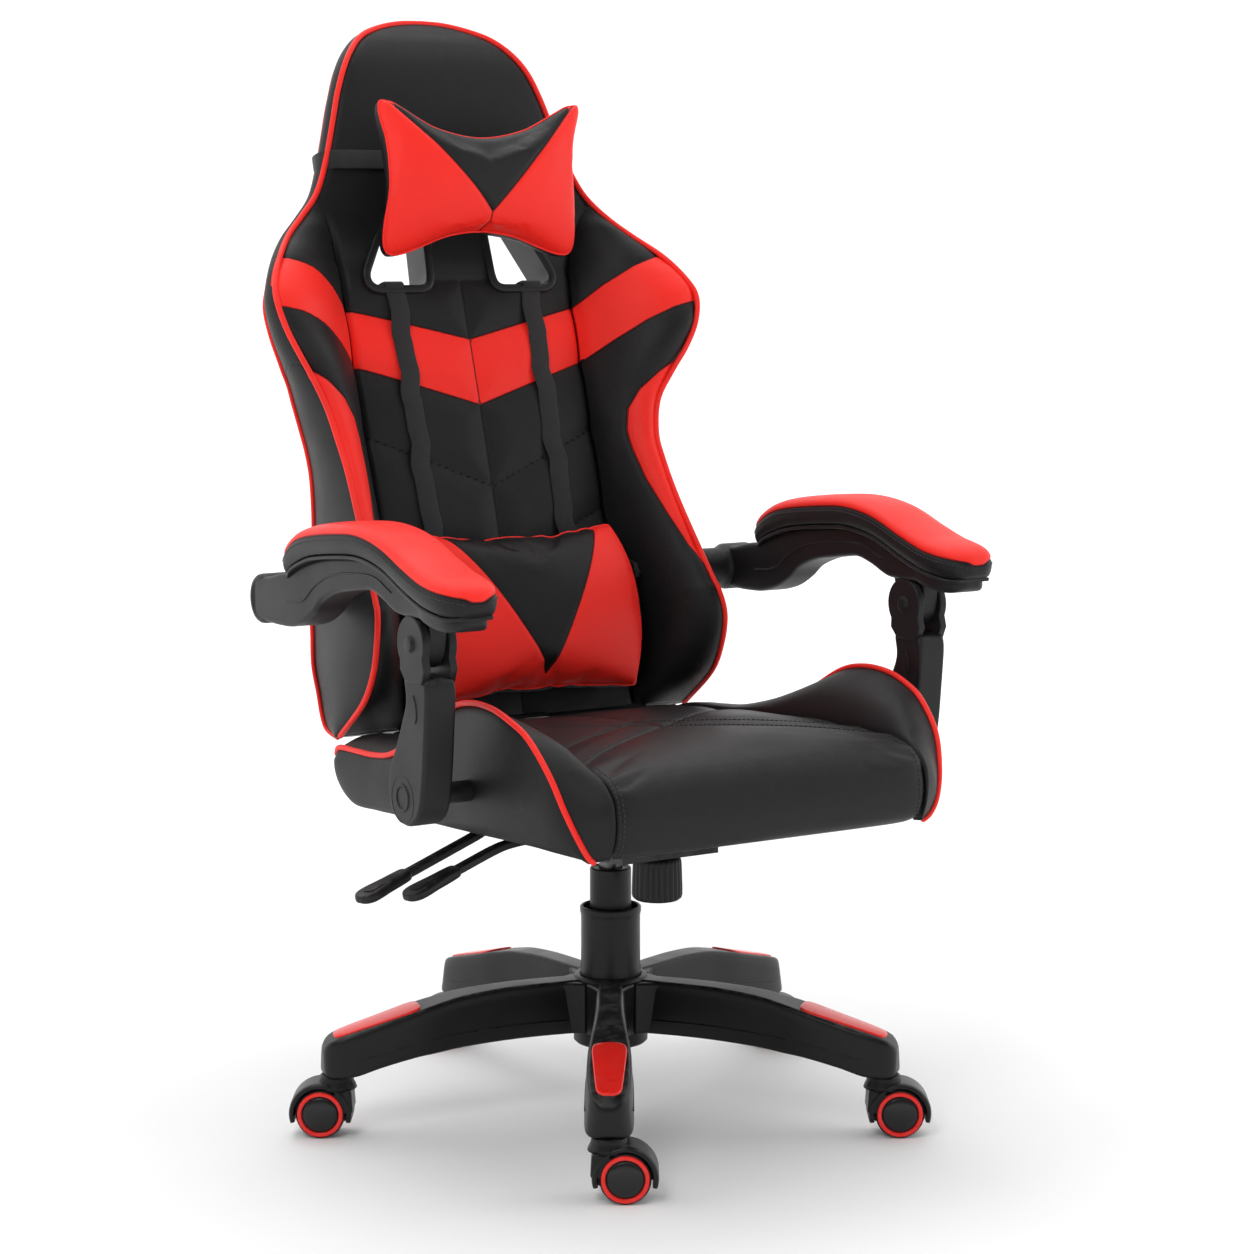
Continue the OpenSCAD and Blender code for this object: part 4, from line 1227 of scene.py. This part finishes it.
def seat_stitching(cushion):
    """Twin rows of thread beside the front seams, and rows along the yoke."""
    rows = Build()
    seam, _, _ = bolster_curves()
    front = seam[seam[:, 1] < -120]
    for sign in (1, -1):
        for offset in (6, 11):
            stitch(rows, cushion, front * (sign, 1, 1) - (sign * offset, 0, 0))
    for line in SEAT_YOKE[:2]:
        for sign in (1, -1):
            stitch(rows, cushion, [(sign * u, v + YOKE_THREAD, 500) for u, v in line])
    rows.piece("seat_stitching", "seat", "black_leather", [thread])


# ------------------------------------------------------------------ armrests

ARM_X = 332
TOP_PIVOT = np.array([-165, 616])
POST_PIVOT = np.array([-140, 443])
REAR_PIVOT = np.array([228, 624])
# Stations of an arm pad from its rear: forward, seam height, crown, underside, half width
PAD = np.array([
    (151, 672, 676, 664, 10), (149, 677, 686, 660, 20), (143, 683, 696, 661, 27), (128, 692, 707, 670, 31),
    (100, 705, 719, 680, 33.5), (60, 714, 728, 690, 35), (-7, 722, 736, 698, 36), (-65, 725, 739, 701, 36.5),
    (-121, 717, 732, 693, 37), (-175, 699, 715, 674, 37), (-215, 687, 703, 662, 37),
    (-243, 682, 698, 657, 35.5), (-261, 680, 694, 655, 32), (-274, 678, 688, 656, 25),
    (-281, 676, 681, 660, 15), (-283, 672, 674, 666, 7),
], float)


def arm_section(sign, forward, section, height=0.0):
    """A section set at its place along an armrest."""
    return np.column_stack([ARM_X + section[:, 0], np.full(len(section), forward),
                            height + section[:, 1]]) * (sign, 1, 1)


def arm_pad(name, sign):
    """Soft pad: a crowned top panel sewn to a darker side band."""
    stations = flow(PAD, 6)
    rows = []
    for y, seam, top, low, half in stations:
        t = np.linspace(0, math.pi, 19)
        crown_x = half * np.sign(np.cos(t)) * np.abs(np.cos(t)) ** 0.72
        crown_z = seam + (top - seam) * np.sin(t) ** 0.85
        t = np.linspace(0, 1, 9)[1:]
        left_x = -half - 1.6 * np.sin(math.pi * t) ** 0.7 + 5 * t ** 3
        side_z = seam + (low - seam) * t
        x = np.concatenate([crown_x, left_x, -left_x[::-1]])
        z = np.concatenate([crown_z, side_z, side_z[::-1]])
        rows.append(arm_section(sign, y, np.column_stack([x, z])))
    obj = Build().skin(rows).piece(f"arm_pad_cover_{name}", "armrest_" + name, "red_leather",
                                   [sewn_leather], (f"arm_pad_{name}",))
    refine(obj)
    seam_height = through(stations[::-1, :2])
    points = coordinates(obj.data)
    normals = np.array([v.normal for v in obj.data.vertices])
    above = points[:, 2] - seam_height(points[:, 1])
    sink = 1.1 * np.exp(-(above / 2.0) ** 2)
    set_coordinates(obj.data, points - normals * sink[:, None])
    mark(obj.data, "red", above - 0.2)
    mark(obj.data, "seam", np.abs(above))
    pad_stitching(obj, name, sign, stations)


def pad_stitching(pad, name, sign, stations):
    """A row of thread on each side band, just below the seam."""
    rows = Build()
    inner = stations[3:-1]
    for side_sign in (1, -1):
        stitch(rows, pad, np.stack([sign * (ARM_X + side_sign * (inner[:, 4] + 3)), inner[:, 0],
                                    inner[:, 1] - 5], -1))
    rows.piece(f"arm_pad_stitching_{name}", "armrest_" + name, "red_leather", [thread])


# Stations of the armrest's bar, from its rear: forward, top, underside, half width
BAR = np.array([
    (250, 636, 612, 12), (246, 644, 604, 18), (236, 649, 600, 21), (205, 653, 598, 22), (170, 660, 598, 22),
    (140, 664, 600, 22), (108, 676, 608, 22), (80, 684, 622, 22), (56, 689, 639, 22), (20, 694, 652, 22),
    (-14, 697, 658, 22), (-50, 700, 663, 22), (-72, 700.5, 664, 22), (-100, 696, 657, 22),
    (-128, 690, 647, 22), (-150, 682, 645, 22), (-186, 670, 645.5, 23), (-205, 665, 642, 25),
    (-228, 660, 638.5, 26), (-250, 657, 638, 25), (-263, 655.5, 640, 21), (-270, 654.5, 644, 14),
    (-272, 653, 648, 7),
], float)


def arm_frame(name, sign):
    """Moulded bar under the pad, its lug for the post, and the stub that reaches in to the backrest."""
    build = Build()
    rows = []
    for y, top, low, half in flow(BAR, 5):
        middle, tall = (top + low) / 2, max((top - low) / 2, 0.8)
        section = box_section(half, tall, min(6.5, tall * 0.8, half * 0.6), 4)
        rows.append(arm_section(sign, y, section, middle))
    build.skin(rows)
    lip = []
    for y, _, _, low, half in flow(PAD[2:-2], 6):
        lip.append(arm_section(sign, y, box_section(max(half - 3.0, 3), 2.2, 1.6, 2), low - 1.6))
    build.skin(lip)
    lug = [(-192, 652), (-192, 622), (-187, 603), (-176, 592), (-165, 588), (-154, 592), (-143, 603),
           (-138, 622), (-130, 652)]
    build.skin(prism(rounded(lug, 8), ARM_X - 10.4, ARM_X + 10.4, 1.5, across) * (sign, 1, 1))
    stub = [(10, 250.5), (23, 250.5), (25, 252.5), (25, 272), (24, 273), (24, 275), (25, 276), (25, 302),
            (27, 306), (30, 312), (30, 346), (29.2, 350), (27, 352.6), (22, 353.4), (20, 351.8),
            (12.5, 351.8), (12.5, 346), (10, 346)]
    build.skin(revolve(stub, (0, *REAR_PIVOT), (1, 0, 0), 56) * (sign, 1, 1), ends=False)
    channel = flow([(150, 628), (106, 634), (70, 656), (30, 671), (-20, 679), (-80, 681), (-122, 668)], 5)
    for side_sign in (1, -1):
        x = np.full(len(channel), sign * (ARM_X + side_sign * 22.2))
        rope(build, np.stack([x, channel[:, 0], channel[:, 1]], -1), 1.1, count=8)
    crisp(build.piece(f"arm_frame_moulding_{name}", "armrest_" + name, "arm_plastic", [arm_plastic],
                      (f"arm_frame_{name}",)))


def hex_socket(build, at, axis, radius, depth):
    """A pan-headed bolt with a hexagonal socket, looking out along axis."""
    profile = [(radius * 0.2, depth - 6), (radius, depth - 6), (radius, depth - 1.2),
               (radius * 0.86, depth), (radius * 0.5, depth), (radius * 0.46, depth - 0.4),
               (radius * 0.46, depth - 4), (0.01, depth - 4.4)]

    def hexagon(number, angle):
        flat = math.cos(math.pi / 6) / np.cos((angle % (math.pi / 3)) - math.pi / 6)
        return flat if number > 4 else np.ones_like(angle)

    build.skin(revolve(profile, at, axis, 48, hexagon), ends=False)


def arm_post(name, sign):
    """Post with two ears round the armrest's lug, its pivot discs and the raised rings that its bolts sit in."""
    build = Build()
    body = [(-124, 414), (-152, 411), (-173, 422), (-183, 440), (-190, 478), (-195, 530), (-198, 566),
            (-194, 581), (-142, 581), (-150, 552), (-126, 503), (-108, 474), (-104, 448), (-109, 427)]
    build.skin(prism(rounded(body, 12), ARM_X - 19, ARM_X + 19, 4.5, across, 4) * (sign, 1, 1))
    turn = np.radians(np.linspace(205, -38, 26))
    ear = [(-190, 574), (-197, 590)]
    ear += [tuple(TOP_PIVOT + 31 * np.array([math.cos(t), math.sin(t)])) for t in turn]
    ear += [(-140, 586), (-152, 574)]
    for low, high in ((ARM_X - 21, ARM_X - 11.6), (ARM_X + 11.6, ARM_X + 21)):
        build.skin(prism(ear, low, high, 1.6, across) * (sign, 1, 1))
    for direction in (1, -1):
        boss = [(0.01, 3.4), (7, 3.4), (8.2, 2.8), (8.6, 1.6), (8.6, 0.6), (10, 0.4), (10, -1)]
        build.skin(revolve(boss, (ARM_X + direction * 21, *TOP_PIVOT), (direction, 0, 0), 48)
                   * (sign, 1, 1), ends=False)
        ring = [(11.6, -5), (11.6, 0.2), (13, 1.3), (14.6, 1.4), (15.8, 0.6), (16, -1)]
        build.skin(revolve(ring, (ARM_X + direction * 19, *POST_PIVOT), (direction, 0, 0), 56)
                   * (sign, 1, 1), ends=False)
        rim = np.radians(np.linspace(-100, 262, 60))
        edge = np.stack([np.full(60, ARM_X + direction * 18.8), POST_PIVOT[0] + 26 * np.cos(rim),
                         POST_PIVOT[1] - 2 + 26 * np.sin(rim)], -1)
        rope(build, edge * (sign, 1, 1), 0.7, count=6)
    grip = rounded([(-172, 528), (-166, 534), (-165, 548), (-168, 562), (-175, 550), (-176, 536)], 3)
    build.skin(prism(grip, ARM_X - 20, ARM_X + 20, 0.8, across) * (sign, 1, 1))
    crisp(build.piece(f"arm_post_moulding_{name}", "post_" + name, "arm_plastic", [arm_plastic],
                      (f"arm_post_{name}",)))


def arm_bolts():
    """Bolts through the posts' feet and the armrests' stubs."""
    lower = Build()
    rear = Build()
    for sign in (1, -1):
        hex_socket(lower, (sign * (ARM_X + 19), *POST_PIVOT), (sign, 0, 0), 10, -2)
        shank = [(6, 176), (6, 186.3), (12, 186.3), (12, 312.6), (6, 312.6), (6, 345)]
        lower.skin(revolve(shank, (0, *POST_PIVOT), (sign, 0, 0), 32))
        hex_socket(rear, (sign * (ARM_X + 19.5), *REAR_PIVOT), (sign, 0, 0), 11, 0.5)
        shank = [(6, 164), (6, 343)]
        rear.skin(revolve(shank, (0, *REAR_PIVOT), (sign, 0, 0), 32))
    crisp(lower.piece("armrest_foot_bolts", "seat", "black_steel", [black_steel], ("arm_bolts_lower",)))
    crisp(rear.piece("armrest_stub_bolts", "backrest", "black_steel", [black_steel], ("arm_bolts_rear",)))


# ------------------------------------------------------------------ base and casters

# Stations of a base arm outwards: distance, top, underside, half width of the top face, of the foot
ARM = np.array([
    (30, 165.6, 101, 14, 20), (52, 165.6, 101, 14, 20), (70, 165.4, 101, 15, 19.5), (100, 165, 101, 15.5, 20),
    (140, 163.6, 100, 16, 21), (190, 158.5, 97, 18.5, 23), (225, 151, 93, 21.5, 25.5),
    (250, 144.5, 90, 23, 27), (290, 133.5, 82, 23.5, 28), (320, 125.5, 74, 22.5, 28),
    (340, 119.5, 73, 20, 26), (349, 115, 73, 16, 23), (355, 108, 74, 10, 17), (357, 100, 79, 4, 9),
], float)
# Stations of an arm's insert outwards: distance, half width
INLAY = [(240.2, 8), (240.8, 13), (242.4, 16.4), (245.5, 18.8), (251, 19.8), (258, 19.9), (300, 17.2),
         (328, 15.0), (335, 13.8), (339.4, 11.6), (342, 8), (343, 4)]


def arm_angle(number):
    """Direction of a base arm, from its caster's stem."""
    x, y, _ = JOINTS[f"caster_{number}_turn"]["pos_m"]
    return math.atan2(y, x)


def spun(rows, angle):
    """Rows turned about the column."""
    rows = np.asarray(rows, float)
    cos, sin = math.cos(angle), math.sin(angle)
    x, y, z = np.moveaxis(rows, -1, 0)
    return np.stack([x * cos - y * sin, x * sin + y * cos, z], -1)


def base_section(distance, section, height=0.0):
    """A section set at its distance from the column."""
    return np.column_stack([np.full(len(section), distance), section[:, 0], height + section[:, 1]])


arm_top = through(ARM[:, :2])


def star_base():
    """Five drafted arms run into a hub with a raised collar."""
    build = Build()
    for number in range(1, 6):
        rows = []
        for r, top, low, half_top, half_low in flow(ARM, 6):
            knee = top - min(10, (top - low) * 0.3)
            outline = rounded([(-half_low, low), (half_low, low), (half_top + 2.2, knee), (half_top, top),
                               (-half_top, top), (-half_top - 2.2, knee)], 4.5, 3)
            rows.append(base_section(r, outline))
        build.skin(spun(rows, arm_angle(number)))
        for sign in (1, -1):
            line = flow([(62, sign * 20.6, 118), (120, sign * 20.4, 118), (190, sign * 22.6, 114),
                         (250, sign * 26.2, 107), (318, sign * 27.0, 94)], 6)
            rope(build, spun(line, arm_angle(number)), 1.0, count=8)
        gusset = []
        for r in np.linspace(38, 82, 10):
            wide = 14 + 17 * ((82 - r) / 44) ** 2.2
            outline = rounded([(-wide, 101.5), (wide, 101.5), (wide, 163.8), (-wide, 163.8)], 4, 3)
            gusset.append(base_section(r, outline))
        build.skin(spun(gusset, arm_angle(number)))
    hub = [(25.4, 84), (42, 84), (45, 87), (45, 163), (44.4, 166.6), (42.6, 168), (38.4, 168), (37.6, 167),
           (37.4, 165.1), (25.4, 165.1)]
    build.skin(revolve(hub, (0, 0, 0), count=96), ring=True)
    crisp(build.piece("star_base_moulding", "base", "base_nylon", [base_nylon], ("star_base",)))


def arm_inlays():
    """Red inserts that follow the fall of the arms' ends."""
    build = Build()
    side = np.array([(0, -3), (0, 0.2), (0.3, 1.2), (1.0, 1.9), (2.4, 2.3)])
    for number in range(1, 6):
        rows = []
        for r, half in flow(INLAY, 3):
            left = np.column_stack([side[:, 0] * min(1, half / 6) - half, side[:, 1]])
            section = np.vstack([left, [(0, 2.6)], left[::-1] * (-1, 1)])
            rows.append(base_section(r, section, float(arm_top(r))))
        build.skin(spun(rows, arm_angle(number)))
    build.piece("arm_inserts", "base", "red_trim", [red_plastic], ("arm_inlays",))


def dust_sleeve():
    """Loose cover over the foot of the gas lift: a skirt, a step and a rolled rim."""
    profile = [(33.4, 170), (33.4, 251), (34.2, 252), (35.6, 252), (37, 250.6), (37, 245), (36.2, 244),
               (36.2, 241), (35.8, 240.4), (35.8, 180), (36.6, 178), (36.6, 166.4), (36, 165.4), (27, 165.4),
               (25.6, 166), (25.6, 169), (33.4, 170)]
    build = Build().skin(revolve(profile, (0, 0, 0), count=96), ends=False)
    crisp(build.piece("lift_dust_sleeve", "base", "base_nylon", [base_nylon], ("dust_sleeve",)))


def gas_lift():
    """Painted outer tube with its rolled top, and the polished rod in it."""
    tube = [(14.2, 292), (14.4, 299), (22.6, 299.6), (24.2, 299), (25, 297.4), (25, 180), (25, 100),
            (21.6, 89), (14, 88), (0.01, 88)]
    outer = Build().skin(revolve(tube, (0, 0, 0), count=72), ends=False)
    crisp(outer.piece("gas_lift_tube", "base", "black_steel", [black_steel], ("gas_cylinder",)))
    rod = [(0.01, 131), (13, 131), (14, 132), (14, 348), (12.6, 350), (0.01, 350)]
    inner = Build().skin(revolve(rod, (0, 0, 0), count=56), ends=False)
    crisp(inner.piece("gas_lift_rod", "column", "bright_steel", [dark_steel], ("gas_piston",)))


def caster_frame(number):
    """Stem place, trailing direction and axle direction of a caster."""
    turn = JOINTS[f"caster_{number}_turn"]
    spin = JOINTS[f"caster_{number}_wheel_a_spin"]
    stem = np.array(turn["pos_m"]) / MM
    axle = np.array(spin["pos_m"]) / MM
    trail = np.array([axle[0] - stem[0], axle[1] - stem[1], 0])
    trail /= np.linalg.norm(trail)
    return stem, axle, trail, np.array([-trail[1], trail[0], 0])


def caster_hood(number):
    """Fork and fender: a band over both wheels, a web between them and a collar for the stem."""
    stem, axle, trail, side = caster_frame(number)
    up = np.array([0, 0, 1])
    build = Build()
    section = [(-23, 31.6), (-21, 31.2), (21, 31.2), (23, 31.6), (23, 34), (21.4, 36.2), (17, 37.2),
               (-17, 37.2), (-21.4, 36.2), (-23, 34)]
    rows = []
    for angle in np.radians(np.linspace(-16, 196, 44)):
        out = trail * math.cos(angle) + up * math.sin(angle)
        rows.append([axle + side * w + out * r for w, r in section])
    build.skin(rows)
    outline = [(32, -5), (34, 10), (31, 20), (20, 30), (0, 35), (-20, 30), (-33, 14), (-37, -3),
               (-30, -14), (20, -14)]
    ring = rounded(outline, 7, 4)
    build.skin(prism(ring, -3.8, 3.8, 0.8, lambda u, v, w: axle + np.outer(u, trail) + np.outer(v, up)
                     + np.outer(w, side)))
    collar = [(5.6, 56), (24, 57), (22.6, 61), (20.6, 65), (19.8, 69), (19.6, 71.2), (18.8, 72.2),
              (5.6, 72.2)]
    build.skin(revolve(collar, (stem[0], stem[1], 0), count=48), ends=False)
    cheek = rounded([(-40, 29), (-14, 29), (-14, 50), (-20, 58), (-38, 58)], 5, 4)
    build.skin(prism(cheek, -21, 21, 3.5, lambda u, v, w: axle * (1, 1, 0) + np.outer(u, trail) * 0.97
                     + np.outer(v, up) + np.outer(w, side)))
    crisp(build.piece(f"caster_{number}_fender", f"caster_{number}", "base_nylon", [base_nylon],
                      (f"caster_{number}_hood",)))


def caster_wheel(number, letter, sign):
    """Twin wheel: tread, red ring and domed cap."""
    _, axle, _, side = caster_frame(number)
    build = Build()
    tread = [(4.2, 4.4), (26.4, 4.4), (28.2, 5), (29, 6.8), (29, 18.4), (28.4, 20.2), (27.8, 21), (27.2, 21),
             (27, 20.2)]
    ring = [(27, 20.2), (26.8, 22), (26.2, 22.8), (24.4, 23.2), (22.6, 22.8), (22, 21.8), (21.9, 20.4)]
    cap = [(21.9, 20.4), (20.8, 20.6), (20.2, 22), (19.4, 23), (16, 24.2), (10, 25.2), (4, 25.6),
           (0.01, 25.7)]
    for ink, profile in enumerate((tread, ring, cap)):
        build.skin(revolve(profile, axle, side * sign, 64), ends=False, ink=ink)
    name = f"caster_{number}_wheel_{letter}"
    crisp(build.piece(name + "_rim", name, "wheel_nylon", [wheel_nylon, red_plastic, cap_plastic], (name,)))


# ------------------------------------------------------------------ controls

KNOB_RIBS = 26
# Depth of a rib as a share of the knob's radius
RIB_DEPTH = 0.075


def ribbed_knob():
    """Tension knob with grip ribs and a domed foot."""
    x, y, _ = np.array(JOINTS["tension"]["pos_m"]) / MM

    def ribs(number, angle):
        wave = 0.5 + 0.5 * np.cos(angle * KNOB_RIBS)
        return 1 - RIB_DEPTH * (1 - wave ** 0.6) * (3 <= number <= 8)

    profile = [(0.01, 281.6), (16, 280.6), (26, 281), (29, 283.4), (30, 287), (29.8, 299), (29.4, 311),
               (29, 322), (28.6, 327), (27, 330.4), (23, 331), (6, 331)]
    build = Build().skin(revolve(profile, (x, y, 0), count=260, shape=ribs), ends=False)
    build.skin(revolve([(6, 330), (5, 331), (5, 368)], (x, y, 0), count=24))
    crisp(build.piece("ribbed_tension_knob", "tension_knob", "control_plastic", [control_plastic],
                      ("tension_knob",)))


PADDLE = 66


def lever(name, hub, knee, tip):
    """Bent rod in a hub, with a flat paddle that swells and rounds off at its end."""
    hub, knee, tip = (np.array(p, float) for p in (hub, knee, tip))
    build = Build()
    reach = (tip - knee) / np.linalg.norm(tip - knee)
    start = tip - reach * PADDLE
    rod = flow([hub, hub + (knee - hub) * 0.5, knee - (knee - hub) * 0.12, knee + reach * 14,
                start - reach * 12, start + reach * 6], 3)
    level = np.array([-reach[1], reach[0], 0])
    level /= np.linalg.norm(level)
    build.skin(sweep(rod, box_section(6.6, 4.4, 1.8, 3), side=level))
    build.skin(sweep(rod + (0, 0, 0.9), box_section(3.6, 4.4, 0.8, 2), side=level))
    stations = flow([(-7, 7.6, 5.6), (-5, 8.8, 6.6), (0, 9.6, 7.2), (14, 10.4, 7.4), (30, 11.6, 7.0),
                     (46, 14, 6.4), (58, 14.6, 6.0), (66, 12.6, 5.4), (71, 8.4, 4.6), (73, 3.6, 3.2)], 1.8)
    rise = np.cross(level, reach)
    rise *= np.sign(rise[2])
    rows = []
    for along, half, thick in stations:
        section = box_section(half, thick, thick * 0.85, 4)
        rows.append(start + reach * along + np.outer(section[:, 0], level)
                    + np.outer(section[:, 1], rise))
    build.skin(rows)
    build.skin(revolve([(3.1, -7), (6.4, -7), (7, -6.4), (7, 6.4), (6.4, 7), (3.1, 7)], hub, (0, 1, 0), 32),
               ring=True)
    pad = rounded([(30, -6.5), (56, -8.5), (62, -4), (62, 4), (56, 8.5), (30, 6.5)], 4, 4)
    build.skin(prism(pad, 5.0, 7.4, 0.7, lambda u, v, w: start + np.outer(u, reach) + np.outer(v, level)
                     + np.outer(w, rise)))
    crisp(build.piece(name + "_handle", name, "control_plastic", [control_plastic], (name,)))


# ------------------------------------------------------------------ the chair

back_skins = backrest_cover()
backrest_piping()
window_liners()
head_strap()
lumbar_straps(*back_skins)
head_pillow()
lumbar_cushion()
seat_stitching(seat_cushion())
for label, way in (("left", 1), ("right", -1)):
    seat_bolster(label, way)
    arm_pad(label, way)
    arm_frame(label, way)
    arm_post(label, way)
arm_bolts()
star_base()
arm_inlays()
dust_sleeve()
gas_lift()
for caster in range(1, 6):
    caster_hood(caster)
    for wheel, way in (("a", 1), ("b", -1)):
        caster_wheel(caster, wheel, way)
ribbed_knob()
lever("lift_lever", (-52, 6, 349), (-162, -22, 347), (-300, -57, 311))
lever("recline_lever", (-122, 58, 360), (-169, 26, 352), (-349, -36, 310))
finish_cad_nodes()


# ------------------------------------------------------------------ floor, light and camera

FLOOR_HALF = 60


def studio():
    """A pale floor with a painted glow that grows with distance so it runs out of sight, soft light all round and
    a large lamp on each side.
    """
    floor_mesh = bpy.data.meshes.new("floor")
    floor_mesh.from_pydata([(x * FLOOR_HALF, y * FLOOR_HALF, 0) for x, y in
                            ((-1, -1), (1, -1), (1, 1), (-1, 1))], [], [(0, 1, 2, 3)])
    floor = bpy.data.objects.new("floor", floor_mesh)
    bpy.context.scene.collection.objects.link(floor)
    material, tree, shader = start_material("pale floor", specular=0.1)
    shader.inputs["Base Color"].default_value = (0.96, 0.96, 0.96, 1)
    shader.inputs["Roughness"].default_value = 0.7
    # Painted glow: the floor's emission rises from nothing at 1 m out to 0.4 at 3 m, so its far part fades into
    # the white background.
    shader.inputs["Emission Color"].default_value = (1, 1, 1, 1)
    far = vectors(tree, "LENGTH", tree.nodes.new("ShaderNodeTexCoord").outputs["Object"])["Value"]
    tree.links.new(band(tree, far, 1.0, 3.0, 0.0, 0.4), shader.inputs["Emission Strength"])
    floor_mesh.materials.append(material)
    world = bpy.data.worlds.new("studio")
    world.use_nodes = True
    tree = world.node_tree
    background = tree.nodes["Background"]
    background.inputs["Color"].default_value = (1, 1, 1, 1)
    direction = tree.nodes.new("ShaderNodeTexCoord").outputs["Generated"]
    frontward = vectors(tree, "DOT_PRODUCT", direction, (-0.52, -0.85, 0))["Value"]
    height = put(tree, "ShaderNodeSeparateXYZ", {0: direction}).outputs["Z"]
    shade_side = sums(tree, "MULTIPLY", band(tree, frontward, -0.1, 0.7), band(tree, height, 0.07, 0.25))
    tree.links.new(band(tree, shade_side, 0.0, 1.0, 1.2, 0.2), background.inputs["Strength"])
    bpy.context.scene.world = world
    lamp("key", (-2.4, -1.8, 3.4), (0, -0.1, 0.6), 1.6, 44)
    lamp("fill", (3.2, -1.6, 1.6), (0, 0, 0.7), 1.2, 12)
    lamp("top", (0.2, 1.4, 3.6), (0, 0.1, 0.8), 2.2, 26)
    bpy.context.scene.view_settings.view_transform = "Standard"


def lamp(name, spot, target, size, power):
    """A square lamp turned to its target."""
    light = bpy.data.lights.new(name, "AREA")
    light.shape = "SQUARE"
    light.size = size
    light.energy = power
    obj = bpy.data.objects.new(name, light)
    obj.location = spot
    obj.rotation_euler = (Vector(target) - Vector(spot)).to_track_quat("-Z", "Y").to_euler()
    bpy.context.scene.collection.objects.link(obj)


def camera():
    """Looks at the chair's front from its right, a little above the seat."""
    view = bpy.data.cameras.new("camera")
    view.sensor_width = 36
    view.lens = 81.73
    obj = bpy.data.objects.new("camera", view)
    obj.location = (-1.744, -2.883, 1.045)
    obj.rotation_euler = Vector((0.518, 0.845, -0.1335)).to_track_quat("-Z", "Y").to_euler()
    bpy.context.scene.collection.objects.link(obj)
    bpy.context.scene.camera = obj


studio()
camera()
